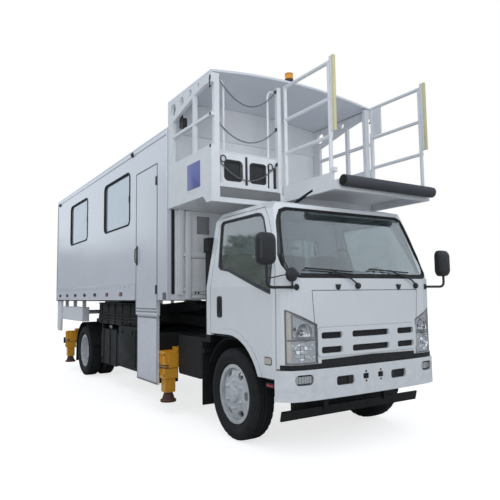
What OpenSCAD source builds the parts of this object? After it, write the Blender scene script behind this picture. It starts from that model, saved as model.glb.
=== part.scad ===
// Airport passenger high-lift vehicle: a light cab-over truck with a scissor-lifted cabin.
// Millimetres. +X forward, +Y left, +Z up, origin on the ground under the middle of the vehicle.

/* [Chassis] */
// Distance between the axles
wheelbase = 5320; // [4900:10:5800]
// Front axle ahead of the vehicle's middle
front_axle_x = 3030; // [2800:10:3200]
// Top of the frame rails
rail_top = 860; // [820:5:890]
// Depth of a frame rail
rail_h = 220; // [180:5:260]
// Outer face of a frame rail
rail_out = 425; // [390:5:440]
// Width of a rail flange
rail_flange = 70; // [50:5:90]
// Plate of a frame rail
rail_t = 10; // [6:1:14]
// Rear end of the rails behind the rear axle
rail_tail = 1610; // [1300:10:1700]
// Front end of the rails ahead of the front axle
rail_nose = 780; // [650:10:820]

/* [Wheels] */
// Tyre radius, which is also the axle height
tyre_r = 448; // [420:1:460]
// Tyre section width
tyre_w = 235; // [215:1:250]
// Rim seat radius
rim_r = 270; // [240:1:290]
// Middle of a front tyre from the centre line
front_tyre_y = 850; // [820:1:880]
// Middle of an outer rear tyre from the centre line
rear_tyre_y = 900; // [870:1:930]
// Spacing of the twin rear tyres
twin_gap = 270; // [255:1:300]
// Kingpin distance from the centre line
kingpin_y = 690; // [670:1:705]
// Clearance of a wheel bearing
bearing_gap = 0.5; // [0.3:0.1:0.8]

/* [Cab] */
// Half width of the cab
cab_half = 997; // [960:1:1020]
// Cab front ahead of the front axle
cab_front = 968; // [940:1:990]
// Cab back behind the front axle
cab_back = 467; // [420:1:520]
// Top of the cab roof
cab_top = 2345; // [2300:5:2360]
// Belt line under the windscreen
belt_z = 1567; // [1520:1:1600]
// Lean of the windscreen
screen_lean = 23.5; // [18:0.5:27]
// Thickness of the cab panels
cab_t = 38; // [25:1:50]
// Cab floor underside
cab_floor_z = 1000; // [995:5:1050]
// Wheel arch radius
arch_r = 540; // [530:1:560]
// Gap around a door
door_gap = 6; // [5:0.5:10]

/* [Box] */
// Half width of the box
box_half = 1150; // [1120:5:1200]
// Box rear end behind the front axle
box_tail = 7000; // [6800:10:7050]
// Box front wall behind the front axle
box_head = 1150; // [1100:10:1250]
// Box underside
box_z = 1378; // [1370:1:1400]
// Box roof edge
box_top = 3485; // [3400:5:3550]
// Wall thickness
wall_t = 40; // [30:1:60]
// Floor thickness
floor_t = 70; // [50:1:90]
// Side window width
win_w = 1190; // [1000:10:1250]
// Side window bottom
win_z0 = 2435; // [2300:5:2500]
// Side window height
win_h = 755; // [600:5:800]
// Window corner radius
win_r = 90; // [40:5:120]

/* [Canopy and gangway] */
// Canopy length over the cab
canopy_l = 1098; // [1000:1:1150]
// Canopy side bottom
canopy_z = 2460; // [2440:1:2480]
// Canopy side top
canopy_top = 3745; // [3700:5:3800]
// Rise of the arched canopy roof
canopy_rise = 90; // [40:5:140]
// Right-hand rail plane of the gangway
gang_right = -225; // [-240:1:-200]
// Gangway front ahead of the front axle
gang_front = 746; // [650:1:800]
// Top of the gangway rails
gang_top = 3770; // [3650:5:3800]
// Radius of the rubber roll
roll_r = 57; // [45:1:65]
// Gangway travel
gang_travel = 600; // [400:10:650]

/* [Lift and legs] */
// Length of a scissor arm between its pins
arm_l = 4400; // [4200:10:4450]
// Rear base pin behind the front axle
arm_tail = 6300; // [6250:10:6400]
// Base pin height
pin_z = 1065; // [1060:1:1070]
// Rise from the base pin to the box pin at rest
pin_rise = 230; // [228:1:235]
// Depth of a scissor arm
arm_h = 140; // [110:1:142]
// Thickness of a scissor arm
arm_t = 60; // [40:1:64]
// Inner face of the outer arms
arm_out = 330; // [326:1:335]
// Inner face of the inner arms
arm_in = 250; // [245:1:254]
// Radius of a scissor pin
pin_r = 30; // [20:1:35]
// Foot height of the stowed legs
foot_z = 150; // [120:5:200]

/* [Hidden] */
$fn = 0;
$fa = 6;
$fs = 4;
xf = front_axle_x;
xr = front_axle_x - wheelbase;
axle_z = tyre_r;
cabf = xf + cab_front;
cabb = xf - cab_back;
bx0 = xf - box_tail;
bx1 = xf - box_head;
cx1 = bx1 + canopy_l;
gx1 = xf + gang_front;
floor_top = box_z + floor_t;
rail_x0 = xr - rail_tail;
rail_x1 = xf + rail_nose;
sub_top = 980;
arm_a0 = asin(pin_rise / arm_l);
arm_run = arm_l * cos(arm_a0);
px = xf - arm_tail;
clear = 0.5;
// Reach of the cuts through the cab's sides and through the box walls
cab_reach = cab_half + 203;
door_in = cab_half - 497;
wall_cut = [box_half - 150, box_half + 150];
// Inner edge of a headlamp, which is also the edge of the front flap and the grille
lamp_in = cab_half - 357;
// Mirrors: middle of a head, half width, and the side, bottom and top of each head
mirror_y = cab_half + 159;
mirror_half = 92;
mirror_heads = [[1, 1600, 1880], [-1, 1677, 1957]];
// Cab doors: top edge and radius of the edge round the wheel
door_top = 2262;
door_arch = arch_r + 45;
// Cab seats: outer edge of an outer seat, width of an outer seat, half width of the engine cover
seat_out = cab_half - 147;
seat_w = 500;
cover_half = 320;
// Floor covering of the box, and how far it stays from the walls and posts
sheet_t = 3;
sheet_gap = 25;
// Window places behind the front axle, the front edge of each
win_fronts = [2485, 4670];
// Side door edges behind the front axle and its heights
door_x0 = xf - 2223;
door_x1 = xf - 1480;
door_z0 = 1188;
door_z1 = 3093;
door_t = 38;
step_z0 = 345;
step_x0 = door_x0 + 8;
step_x1 = door_x1 - 45;
step_out = box_half - 60;
step_in = box_half - 310;
// Legs: place behind the front axle and half width of the housing
leg_xs = [xf - 1460, xf - 6310];
leg_y = box_half - 140;
leg_w = 130;
leg_box = 170;
leg_top = 760;
leg_low = 430;
foot_r = 95;
canopy_deck = canopy_z + 60;
roller_r = 62;
// Lift cylinders: distance from the centre line, eye place up the inner arms, foot and eye pins
cyl_y = 105;
eye_run = 1800;
cyl_run = 1300;
lift_foot = [px + arm_l - eye_run - cyl_run, sub_top - 15];
// Rear end of the roller tracks behind the front pins
track_run = 1944;
lift_eye = [px + (arm_l - eye_run) * cos(arm_a0), pin_z + eye_run * sin(arm_a0)];
lift_vec = lift_eye - lift_foot;
lift_len = norm(lift_vec);
lift_tilt = atan2(lift_vec[1], lift_vec[0]);

// General shapes

// Box between two corners
module span(a, b) {
    translate(a) cube(b - a);
}

// A piece and its mirror image across the centre plane
module pair() {
    children();
    mirror([0, 1, 0]) children();
}

// Left piece for 1, right piece for -1
module side(s) {
    if (s > 0) children();
    else mirror([0, 1, 0]) children();
}

// Round bar along Y between two places
module bar_y(r, x, z, y0, y1) {
    translate([x, y0, z]) rotate([-90, 0, 0]) cylinder(r = r, h = y1 - y0);
}

// Round bar along X between two places
module bar_x(r, y, z, x0, x1) {
    translate([x0, y, z]) rotate([0, 90, 0]) cylinder(r = r, h = x1 - x0);
}

// Round bar along Z between two places
module bar_z(r, x, y, z0, z1) {
    translate([x, y, z0]) cylinder(r = r, h = z1 - z0);
}

// Side outline, x and z, drawn through from y0 to y1
module prism_y(pts, y0, y1) {
    translate([0, y1, 0]) rotate([90, 0, 0]) linear_extrude(height = y1 - y0) polygon(pts);
}

// Front outline, y and z, drawn through from x0 to x1
module prism_x(pts, x0, x1) {
    translate([x0, 0, 0]) rotate([90, 0, 90]) linear_extrude(height = x1 - x0) polygon(pts);
}

// Rectangle with true round corners
module round_rect(a, b, r) {
    translate([a[0] + r, a[1]]) square([b[0] - a[0] - 2 * r, b[1] - a[1]]);
    translate([a[0], a[1] + r]) square([b[0] - a[0], b[1] - a[1] - 2 * r]);
    for (x = [a[0] + r, b[0] - r], y = [a[1] + r, b[1] - r]) translate([x, y]) circle(r = r);
}

// Rounded window plug in a side wall
module window_y(x0, x1, z0, z1, r, y0, y1) {
    translate([0, y1, 0]) rotate([90, 0, 0]) linear_extrude(height = y1 - y0)
        round_rect([x0, z0], [x1, z1], r);
}

// Rounded window plug in an end wall
module window_x(y0, y1, z0, z1, r, x0, x1) {
    translate([x0, 0, 0]) rotate([90, 0, 90]) linear_extrude(height = x1 - x0)
        round_rect([y0, z0], [y1, z1], r);
}

// Turned piece about a Y axis; points are radius and outward distance
module turned(pts) {
    rotate([-90, 0, 0]) rotate_extrude() polygon(pts);
}

// Chassis

module chassis_frame() color("dimgray") {
    pair() difference() {
        span([rail_x0, rail_out - rail_flange, rail_top - rail_h], [rail_x1, rail_out, rail_top]);
        span([rail_x0 - 1, rail_out - rail_flange - 1, rail_top - rail_h + rail_t],
            [rail_x1 + 1, rail_out - rail_t, rail_top - rail_t]);
    }
    // Cross tubes between the webs, clear of engine and propeller shaft
    for (x = [rail_x1 - 60, xf - 1350, xf - 2600, xf - 3900, xr - 700, rail_x0 + 80])
        bar_y(35, x, rail_top - 55, -(rail_out - rail_t), rail_out - rail_t);
    // Plate below the front bumper and bar at the tail, each on two brackets
    prism_y([[xf + 690, 300], [xf + 715, 300], [xf + 740, 390], [xf + 715, 390]], -880, 880);
    span([rail_x0 - 45, -1000, 470], [rail_x0 + 5, 1000, 590]);
    pair() {
        span([xf + 712, rail_out - 60, 365], [xf + 755, rail_out - 5, rail_top - rail_h + 5]);
        span([rail_x0, rail_out - 60, 560], [rail_x0 + 60, rail_out - 5, rail_top - rail_h + 5]);
    }
}

// Base of the scissor: sills on the rails, cross beams, roller tracks and pin lugs
module subframe() color("dimgray") {
    lug_y = arm_out + arm_t + 4;
    sill_in = rail_out - 80;
    pair() {
        span([px - 260, sill_in, rail_top], [px + arm_run + 160, rail_out, sub_top]);
        span([px + arm_run - track_run, arm_in - 60, sub_top - 60], [px + arm_run + 120, arm_in - 8, pin_z - roller_r - clear]);
        difference() {
            prism_y([[px - 130, sub_top], [px + 130, sub_top], [px + 55, pin_z + 55], [px - 55, pin_z + 55]],
                lug_y, lug_y + 30);
            bar_y(pin_r + clear, px, pin_z, lug_y - 1, lug_y + 31);
        }
    }
    for (x = [px - 200, px + arm_run - track_run, px + arm_run - 1294, px + arm_run - 644, px + arm_run + 60])
        span([x, -sill_in, rail_top + 10], [x + 60, sill_in, sub_top - 60]);
    // Foot beam of the lift cylinders with a pair of lugs for each
    span([lift_foot[0] - 100, -sill_in, rail_top + 2], [lift_foot[0] + 100, sill_in, rail_top + 30]);
    pair() for (y = [cyl_y - 30, cyl_y + 20]) difference() {
        prism_y([[lift_foot[0] - 70, rail_top + 30], [lift_foot[0] + 70, rail_top + 30],
            [lift_foot[0] + 38, lift_foot[1] + 40], [lift_foot[0] - 38, lift_foot[1] + 40]], y, y + 10);
        bar_y(25 + clear, lift_foot[0], lift_foot[1], 0, 300);
    }
}

module front_axle() {
    // Dropped beam with an upright fork eye at each end
    difference() {
        prism_x([[-600, axle_z - 40], [-480, axle_z - 80], [480, axle_z - 80], [600, axle_z - 40],
            [kingpin_y - 42, axle_z - 40], [kingpin_y - 42, axle_z + 40], [560, axle_z + 40], [460, axle_z],
            [-460, axle_z], [-560, axle_z + 40], [-(kingpin_y - 42), axle_z + 40],
            [-(kingpin_y - 42), axle_z - 40]], xf - 45, xf + 45);
    }
    pair() difference() {
        bar_z(45, xf, kingpin_y, axle_z - 40, axle_z + 40);
        bar_z(20 + clear, xf, kingpin_y, axle_z - 41, axle_z + 41);
    }
    pair() span([xf - 45, 340, axle_z - 1], [xf + 45, 440, axle_z + 30]);
}

module rear_axle() {
    bar_y(75, xr, axle_z, -540, 540);
    difference() {
        translate([xr, 0, axle_z]) sphere(r = 190);
        span([xr - 300, -150, axle_z - 300], [xr - 160, 150, axle_z + 300]);
    }
    bar_x(70, 0, axle_z, xr + 150, xr + 330);
    pair() bar_y(55, xr, axle_z, 530, rear_tyre_y - 20);
    pair() span([xr - 60, 350, axle_z + 40], [xr + 60, 430, axle_z + 90]);
}

module axles() color("dimgray") {
    front_axle();
    rear_axle();
}

// Leaf packs on the axles with hangers up to the rails
module leaf_springs() color("dimgray") {
    // Columns: axle place, seat height, half length
    for (p = [[xf, axle_z + 30, 560], [xr, axle_z + 90, 640]]) pair() {
        for (i = [0:4]) span([p[0] - p[2] + i * 95, 350, p[1] + i * 12], [p[0] + p[2] - i * 95, 425, p[1] + i * 12 + 12]);
        for (e = [-1, 1]) span([p[0] + e * (p[2] - 30) - 20, 360, p[1] + 12], [p[0] + e * (p[2] - 30) + 20, 420, rail_top - rail_h]);
    }
}

// Engine and gearbox block under the cab
module engine() {
    span([xf - 400, -290, 560], [xf + 470, 290, 930]);
    span([xf - 300, -200, 470], [xf + 380, 200, 560]);
    pair() span([xf - 60, 290, 700], [xf + 20, rail_out - rail_t, 760]);
    bar_x(180, 0, 690, xf - 560, xf - 400);
    bar_x(130, 0, 680, xf - 980, xf - 560);
}

module propshaft() {
    x0 = xr + 330;
    x1 = xf - 980;
    run = x1 - x0;
    drop = 680 - axle_z;
    translate([x0, 0, axle_z]) rotate([0, 90 - atan(drop / run), 0]) difference() {
        cylinder(r = 50, h = run / cos(atan(drop / run)));
        translate([-60, -60, -30]) cube([120, 120, 33.2]);
    }
}

module drivetrain() color("gray") {
    engine();
    propshaft();
}

module fuel_tank() {
    translate([0, -440, 0]) rotate([90, 0, 0]) linear_extrude(height = 540)
        round_rect([xf - 4330, 340], [xf - 3420, 900], 150);
    for (x = [xf - 4130, xf - 3650]) span([x, -442, 780], [x + 60, -rail_out, 840]);
}

module battery_box() {
    translate([0, 960, 0]) rotate([90, 0, 0]) linear_extrude(height = 520)
        round_rect([xf - 3500, 480], [xf - 2700, 880], 30);
    for (x = [xf - 3400, xf - 2900]) span([x, rail_out, 780], [x + 60, 442, 840]);
}

// Locker between the tank and the steps
module locker() {
    translate([0, -440, 0]) rotate([90, 0, 0]) linear_extrude(height = 550)
        round_rect([xf - 3400, 370], [xf - 2600, 985], 30);
    for (x = [xf - 3250, xf - 2800]) span([x, -442, 780], [x + 60, -rail_out, 840]);
}

// Filter box behind the right front wheel with its intake duct up the back of the cab
module filter_box() {
    translate([0, -445, 0]) rotate([90, 0, 0]) linear_extrude(height = 500) round_rect([xf - 1300, 500], [xf - 690, 960], 40);
    for (x = [xf - 1200, xf - 850]) span([x, -447, 780], [x + 60, -rail_out, 840]);
    span([xf - 700, -950, 920], [cabb - 8, -820, 958]);
    span([cabb - 110, -950, 920], [cabb - 8, -820, 2040]);
    span([cabb - 125, -965, 1900], [cabb - 8, -805, 2060]);
}

// Air tanks on the left
module air_tanks() {
    for (z = [590, 800]) bar_x(95, 640, z, xf - 1300, xf - 690);
    for (x = [xf - 1200, xf - 850]) span([x, rail_out, 560], [x + 50, 560, 830]);
}

module chassis_boxes() color("black") {
    fuel_tank();
    locker();
    battery_box();
    filter_box();
    air_tanks();
}

// Mudguards: an arc over each pair of rear tyres, and a flap behind every wheel
module mudguards() color("black") pair() {
    difference() {
        bar_y(tyre_r + 75, xr, axle_z, rear_tyre_y - twin_gap - tyre_w / 2 - 5, rear_tyre_y + tyre_w / 2);
        bar_y(tyre_r + 68, xr, axle_z, 0, 2000);
        span([xr - 900, 0, -200], [xr + 900, 1100, axle_z + 120]);
    }
    span([xr - 20, rail_out, 800], [xr + 20, rear_tyre_y - twin_gap - tyre_w / 2 - 5, axle_z + tyre_r + 74]);
    span([xr - 524, rear_tyre_y - twin_gap - tyre_w / 2 - 5, 220], [xr - 502, rear_tyre_y + tyre_w / 2, axle_z + 135]);
    span([xf - 622, 600, 240], [xf - 610, 975, 915]);
    span([xf - 622, rail_out, 800], [xf - 582, 975, 850]);
}

// Cross tubes and sleeves that carry the stabiliser legs
module leg_housings() color("orange") for (x = leg_xs) {
    pair() difference() {
        span([x - leg_box / 2, leg_y - leg_box / 2, leg_low], [x + leg_box / 2, leg_y + leg_box / 2, leg_top]);
        span([x - leg_w / 2 - clear, leg_y - leg_w / 2 - clear, leg_low - 1],
            [x + leg_w / 2 + clear, leg_y + leg_w / 2 + clear, leg_top + 1]);
        // Openings in the outer face between the bands
        for (z = [[leg_low + 40, leg_low + 140], [leg_low + 185, leg_top - 40]])
            span([x - leg_w / 2 + 12, leg_y, z[0]], [x + leg_w / 2 - 12, leg_y + leg_box, z[1]]);
    }
    pair() span([x + leg_box / 2 - 1, leg_y - leg_box / 2 - 40, 560], [x + leg_box / 2 + 12, leg_y + 30, 720]);
    pair() span([x - 80, leg_y - leg_box / 2 - 50, 590], [x + leg_box / 2 + 12, leg_y - leg_box / 2 - 30, 700]);
    pair() span([x - 70, rail_out, 680], [x + 70, leg_y - leg_box / 2, 800]);
}

// Fixed steps below the side door on two arms from the frame rail
module side_steps() color("gainsboro") {
    for (z = [380, 660, 940]) span([step_x0 + 40, -step_out, z], [step_x1 - 40, -step_in, z + 30]);
    for (x = [step_x0 + 20, step_x1 - 40]) span([x, -step_out, 360], [x + 20, -step_in, 975]);
    for (x = [step_x0 + 20, step_x1 - 40]) span([x, -step_in, rail_top - 40], [x + 20, -rail_out, 970]);
}

// Cab

// Plan of the cab as x ahead of the axle and y, inset by t
function cab_plan(t) = [[-cab_back + t, cab_half - t], [760, cab_half - t], [845 - t * 0.6, cab_half - 32 - t * 0.8],
    [905 - t, cab_half - 95 - t * 0.7], [cab_front - 28 - t, cab_half - 200 - t * 0.5],
    [cab_front - 8 - t, 480], [cab_front - t, 0]];
function mirrored(p) = concat(p, [for (i = [len(p) - 2:-1:0]) [p[i][0], -p[i][1]]]);

// Outer form of the cab, inset by t
module cab_form(t) intersection() {
    // Side outline
    prism_y([[cabb + t, 600], [xf + 1200, 600], [xf + 1200, belt_z], [cabf - t / cos(screen_lean), belt_z],
        [xf + 655 - t, 2235], [xf + 610 - t, cab_top - 50 - t], [xf + 480, cab_top - 12 - t], [xf, cab_top - t],
        [cabb + 90, cab_top - 15 - t], [cabb + 25 + t, cab_top - 60 - t], [cabb + t, cab_top - 130 - t]], -cab_reach, cab_reach);
    // Front outline with the upper sides leaning in
    prism_x([[-(cab_half - t), 600], [cab_half - t, 600], [cab_half - t, belt_z - 60], [cab_half - 130 - t, 2240],
        [cab_half - 180 - t, cab_top - 30 - t], [cab_half - 300, cab_top - t], [-(cab_half - 300), cab_top - t],
        [-(cab_half - 180 - t), cab_top - 30 - t], [-(cab_half - 130 - t), 2240], [-(cab_half - t), belt_z - 60]],
        cabb - 50, cabf + 50);
    // Plan: upright below the belt, leaning back with the windscreen above it
    union() {
        translate([xf, 0, 600]) linear_extrude(height = belt_z - 600) polygon(mirrored(cab_plan(t)));
        intersection() {
            span([cabb - 10, -cab_reach, belt_z - 0.01], [cabf + 200, cab_reach, cab_top + 100]);
            translate([cabf, 0, belt_z]) rotate([0, -screen_lean, 0]) translate([-cab_front, 0, -900])
                linear_extrude(height = 2200) polygon(mirrored(cab_plan(t)));
        }
    }
}

// Edge of a door round the wheel, from the sill up to the top of the arch
function arch_edge(r) = [for (a = [88:-8:24]) [xf + r * cos(a), axle_z + r * sin(a)]];
// Side outline of a door, grown by g
function door_line(g) = concat([[xf + 790 + g, 690 - g], [xf + 800 + g, belt_z - 130], [xf + 781 + g, belt_z + 88],
    [xf + 633 + g, belt_z + 468], [xf + 545 + g, 2185], [xf + 470 + g, door_top + g], [xf - 320, door_top + g],
    [xf - 375 - g, 2180], [xf - 375 - g, 1030 - g]], arch_edge(door_arch - g));
// Side outline of the door window
window_line = [[xf + 738, belt_z - 130], [xf + 723, belt_z + 115], [xf + 490, 2150], [xf + 440, 2195], [xf + 370, 2212],
    [xf - 300, 2212], [xf - 332, 2180], [xf - 255, belt_z + 160], [xf - 215, belt_z + 132], [xf - 41, belt_z + 108]];
// Right half of the windscreen's front outline, from the bottom up, as distance in from the cab's side and height
screen_half = [[197, belt_z + 8], [132, belt_z + 25], [97, belt_z + 58], [82, belt_z + 113], [90, belt_z + 207],
    [111, belt_z + 333], [131, belt_z + 443], [159, 2160], [182, 2215], [247, 2240]];
screen_line = concat([for (p = screen_half) [cab_half - p[0], p[1]]],
    [for (i = [len(screen_half) - 1:-1:0]) [-(cab_half - screen_half[i][0]), screen_half[i][1]]]);

module cab_shell() difference() {
    cab_form(0);
    cab_form(cab_t);
    prism_y(door_line(door_gap), -cab_reach, cab_reach);
    prism_x(screen_line, xf + 300, cabf + 200);
    // Arches over the front wheels
    bar_y(arch_r, xf, axle_z, -cab_reach, cab_reach);
}

module cab_floor() color("dimgray") {
    difference() {
        span([cabb + cab_t, -(cab_half - 70), cab_floor_z], [xf + 560, cab_half - 70, cab_floor_z + 35]);
        span([xf - 420, -(cover_half - 20), cab_floor_z - 1], [xf + 480, cover_half - 20, cab_floor_z + 36]);
    }
    // Raised cover over the engine
    difference() {
        span([cabb + cab_t, -cover_half, cab_floor_z + 35], [xf + 500, cover_half, cab_floor_z + 200]);
        span([xf - 420, -(cover_half - 20), cab_floor_z], [xf + 480, cover_half - 20, cab_floor_z + 180]);
    }
    // Foot wells ahead of the wheels with a step in each
    difference() {
        span([xf + 560, -(cab_half - 70), 655], [cabf - 180, cab_half - 70, cab_floor_z + 35]);
        span([xf + 580, -(cab_half - 69), 690], [cabf - 200, cab_half - 69, cab_floor_z + 36]);
        span([xf + 550, -480, 600], [cabf, 480, cab_floor_z]);
        pair() span([cabf - 230, cab_half - 160, 600], [cabf, cab_reach, 1100]);
    }
    // Mounts down to the rails
    pair() for (x = [xf - 380, xf + 480]) span([x, rail_out - 65, rail_top], [x + 70, rail_out - 5, cab_floor_z]);
}

module cab_front_panel() color("white") difference() {
    intersection() {
        cab_shell();
        span([xf + 640, -cab_reach, 780], [cabf + 100, cab_reach, belt_z]);
    }
    pair() headlamp_cut(0.3);
    window_x(-lamp_in, lamp_in, 870, 1130, 40, cabf - 100, cabf + 50);
    // Shut line of the front flap
    difference() {
        prism_x(flap_line(0), xf + 600, cabf + 50);
        prism_x(flap_line(6), xf + 500, cabf + 60);
        cab_form(9);
    }
}
// Front outline of the flap, inset by t
function flap_line(t) = [[-lamp_in + t, 780], [lamp_in - t, 780], [lamp_in + 50 - t, belt_z - 106 - t],
    [-lamp_in - 50 + t, belt_z - 106 - t]];

module cab_roof() color("white") intersection() {
    cab_shell();
    union() {
        span([xf - 376, -cab_reach, belt_z + clear], [cabf + 100, cab_reach, cab_top + 50]);
        span([cabb - 10, -cab_reach, door_top + door_gap], [xf - 376, cab_reach, cab_top + 50]);
    }
}

module cab_rear_wall() color("white") {
    difference() {
        intersection() {
            cab_shell();
            span([cabb - 10, -cab_reach, 1010], [xf - 376, cab_reach, door_top + door_gap]);
        }
        window_x(-560, 560, 1620, 2080, 70, cabb - 20, cabb + 100);
    }
    // Stop strips that the closed doors lie on
    intersection() {
        difference() {
            union() {
                cab_form(cab_t + clear);
                intersection() {
                    cab_form(cab_t - 2);
                    span([cabb, -cab_reach, 1060], [xf - 376 - door_gap - 1, cab_reach, 2150]);
                }
            }
            cab_form(cab_t + 14);
        }
        pair() span([xf - 410, cab_half - 297, 1060], [xf - 355, cab_reach, 2150]);
    }
}

module cab_rear_glass() window_x(-560, 560, 1620, 2080, 70, cabb + 12, cabb + 20);

module windscreen() intersection() {
    difference() {
        cab_form(8);
        cab_form(16);
    }
    prism_x(screen_line, xf + 300, cabf + 200);
}
module cab_glass() color("lightblue") {
    windscreen();
    cab_rear_glass();
}

// Headlamp recess on the left, grown by g
module headlamp_cut(g) prism_x([[lamp_in - g, 820 - g], [cab_half + 3, 820 - g], [cab_half + 3, 1290 + g],
    [cab_half - 67, 1290 + g], [lamp_in - g, 1160 + g]], xf + 868 - g, cabf + 100);

module headlamps() color("silver") pair() difference() {
    intersection() {
        difference() {
            cab_form(12);
            cab_form(cab_t + 30);
        }
        headlamp_cut(0);
    }
    // Bowls of the lamps: y, z, radius and depth of the ball's middle
    for (b = [[cab_half - 222, 1085, 92], [cab_half - 197, 925, 82]]) translate([cabf - 10, b[0], b[1]]) sphere(r = b[2]);
    // Shelf between the two lamps
    span([xf + 800, lamp_in - 40, 1018], [cabf + 20, cab_half - 37, 1032]);
}

// Grille: dark backing with two rows of slots in a light frame
module grille() color("white") difference() {
    intersection() {
        difference() {
            cab_form(-6);
            cab_form(cab_t);
        }
        window_x(-lamp_in + 0.3, lamp_in - 0.3, 870.3, 1129.7, 39.7, cabf - 120, cabf + 60);
    }
    // Columns: left edge, right edge of a slot
    for (z = [900, 1028], s = [[-(lamp_in - 40), -360], [-240, 240], [360, lamp_in - 40]])
        window_x(s[0], s[1], z, z + 57, 20, cabf - 150, cabf + 80);
}

module bumper_skin() difference() {
    intersection() {
        translate([xf, 0, 505]) linear_extrude(height = 265)
            polygon(mirrored([for (p = cab_plan(-16)) [max(p[0], 808), p[1]]]));
        prism_y([[xf + 500, 530], [xf + 620, 505], [xf + 1100, 505], [xf + 1100, 770], [xf + 500, 770]], -cab_reach, cab_reach);
    }
    translate([xf, 0, 490]) linear_extrude(height = 300)
        polygon(mirrored([for (p = cab_plan(24)) [max(p[0], 400), p[1]]]));
    pair() {
        window_x(240, 450, 610, 690, 25, cabf - 120, cabf + 60);
        window_x(cab_half - 297, cab_half - 117, 640, 730, 40, cabf - 250, cabf + 60);
        window_x(60, 130, 640, 690, 12, cabf - 120, cabf + 60);
    }
}
module front_bumper() color("white") {
    bumper_skin();
    pair() span([rail_x1, rail_out - 60, 650], [cabf - 30, rail_out - 5, 745]);
}

// Mirror heads on tube brackets at both front corners, and a round one low on the right
module mirror_head(z0, z1) translate([xf + 882, 0, 0]) rotate([90, 0, 90]) linear_extrude(height = 83)
    round_rect([mirror_y - mirror_half, z0], [mirror_y + mirror_half, z1], 60);
module mirrors() color("black") {
    tube_x = xf + 925;
    tube_z = 1488;
    for (h = mirror_heads) side(h[0]) {
        mirror_head(h[1], h[2]);
        bar_z(13, tube_x, mirror_y, tube_z, h[1] + 5);
        translate([tube_x, mirror_y, tube_z]) sphere(r = 13);
        difference() {
            bar_y(13, tube_x, tube_z, cab_half - 247, mirror_y);
            cab_form(-clear);
        }
    }
    round_y = -(cab_half - 87);
    bar_x(9, round_y, tube_z, tube_x, tube_x + 40);
    bar_z(9, tube_x + 32, round_y, tube_z - 5, 1545);
    bar_x(62, round_y, 1597, tube_x + 12, tube_x + 50);
}

// Seat cushion and back between two places across the cab
module seat(y0, y1) {
    span([xf - 330, y0, cab_floor_z + 200], [xf + 150, y1, cab_floor_z + 340]);
    span([xf - 400, y0, cab_floor_z + 340], [xf - 280, y1, cab_floor_z + 900]);
}
module cab_seats() color("dimgray") {
    seat_in = seat_out - seat_w;
    seat(-(seat_in - 100), seat_in - 100);
    pair() {
        seat(seat_in, seat_out);
        span([xf - 280, max(seat_in + 60, cover_half + 20), cab_floor_z + 35], [xf + 100, seat_out - 60, cab_floor_z + 200]);
    }
}

module dash_board() difference() {
    intersection() {
        cab_form(cab_t);
        prism_y([[xf + 560, 1270], [xf + 1000, 1130], [xf + 1000, belt_z + 10], [xf + 760, belt_z + 10], [xf + 600, belt_z - 60]],
            -(cab_half - 75), cab_half - 75);
    }
    pair() span([xf + 760, lamp_in - 50, 1000], [cabf, cab_reach, 1330]);
}

module steering_wheel() translate([xf + 480, cab_half - 527, 1520]) rotate([0, -55, 0]) {
    rotate_extrude() translate([200, 0]) circle(r = 15);
    translate([0, 0, -12]) cylinder(r = 55, h = 24);
    for (a = [0, 120, 240]) rotate([0, 0, a]) translate([0, -14, -8]) cube([200, 28, 16]);
    translate([0, 0, -180]) cylinder(r = 28, h = 170);
}

module dashboard() color("dimgray") {
    dash_board();
    steering_wheel();
}

// One side's door with its window cut
module door_leaf() difference() {
    intersection() {
        difference() {
            cab_form(0);
            cab_form(cab_t);
        }
        prism_y(door_line(0), door_in, cab_reach);
    }
    prism_y(window_line, door_in, cab_reach);
    bar_y(arch_r, xf, axle_z, door_in, cab_reach);
    window_y(xf - 225, xf - 170, 1205, 1410, 20, cab_half - 14, cab_reach);
}

// Door of the left side: leaf with the flare round the wheel arch
module door_left() color("white") {
    door_leaf();
    intersection() {
        difference() {
            bar_y(door_arch + 55, xf, axle_z, cab_half - 20, cab_half + 8);
            bar_y(door_arch, xf, axle_z, door_in, cab_reach);
        }
        prism_y(door_line(-1), door_in, cab_reach);
    }
}

module door_pane() color("lightblue") intersection() {
    difference() {
        cab_form(10);
        cab_form(16);
    }
    prism_y(window_line, door_in, cab_reach);
}

module cab_door_left() door_left();
module cab_door_glass_left() door_pane();
module cab_door_right() side(-1) door_left();
module cab_door_glass_right() side(-1) door_pane();

// Wheels

module knuckle() color("gray") translate([xf, kingpin_y, axle_z]) {
    for (z = [-75, 40 + clear]) translate([0, 0, z]) cylinder(r = 45, h = 35 - clear);
    cylinder(r = 20, h = 150, center = true);
    difference() {
        span([-45, 46, -75], [45, 60, 75]);
    }
    for (z = [-75, 40 + clear]) span([-45, 0, z], [45, 50, z + 35 - clear]);
    bar_y(40, 0, 0, 55, front_tyre_y - kingpin_y + 30);
    // Steering arm to the rear
    span([-260, 20, -74], [-30, 50, -44]);
}
module knuckle_left() knuckle();
module knuckle_right() side(-1) knuckle();

function rim_barrel(s) = [[rim_r - 16, -90], [rim_r + 20, -90], [rim_r + 20, -80], [rim_r, -80], [rim_r, 80],
    [rim_r + 20, 80], [rim_r + 20, 90], [rim_r - 16, 90]];

module tyre() color("black") turned([[rim_r + 0.3, -78], [rim_r + 22, -78], [rim_r + 32, -tyre_w / 2 + 18],
    [rim_r + 85, -tyre_w / 2], [tyre_r - 45, -tyre_w / 2 + 4], [tyre_r - 12, -tyre_w / 2 + 20], [tyre_r, -tyre_w / 2 + 45],
    [tyre_r, tyre_w / 2 - 45], [tyre_r - 12, tyre_w / 2 - 20], [tyre_r - 45, tyre_w / 2 - 4], [rim_r + 85, tyre_w / 2],
    [rim_r + 32, tyre_w / 2 - 18], [rim_r + 22, 78], [rim_r + 0.3, 78]]);

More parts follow.
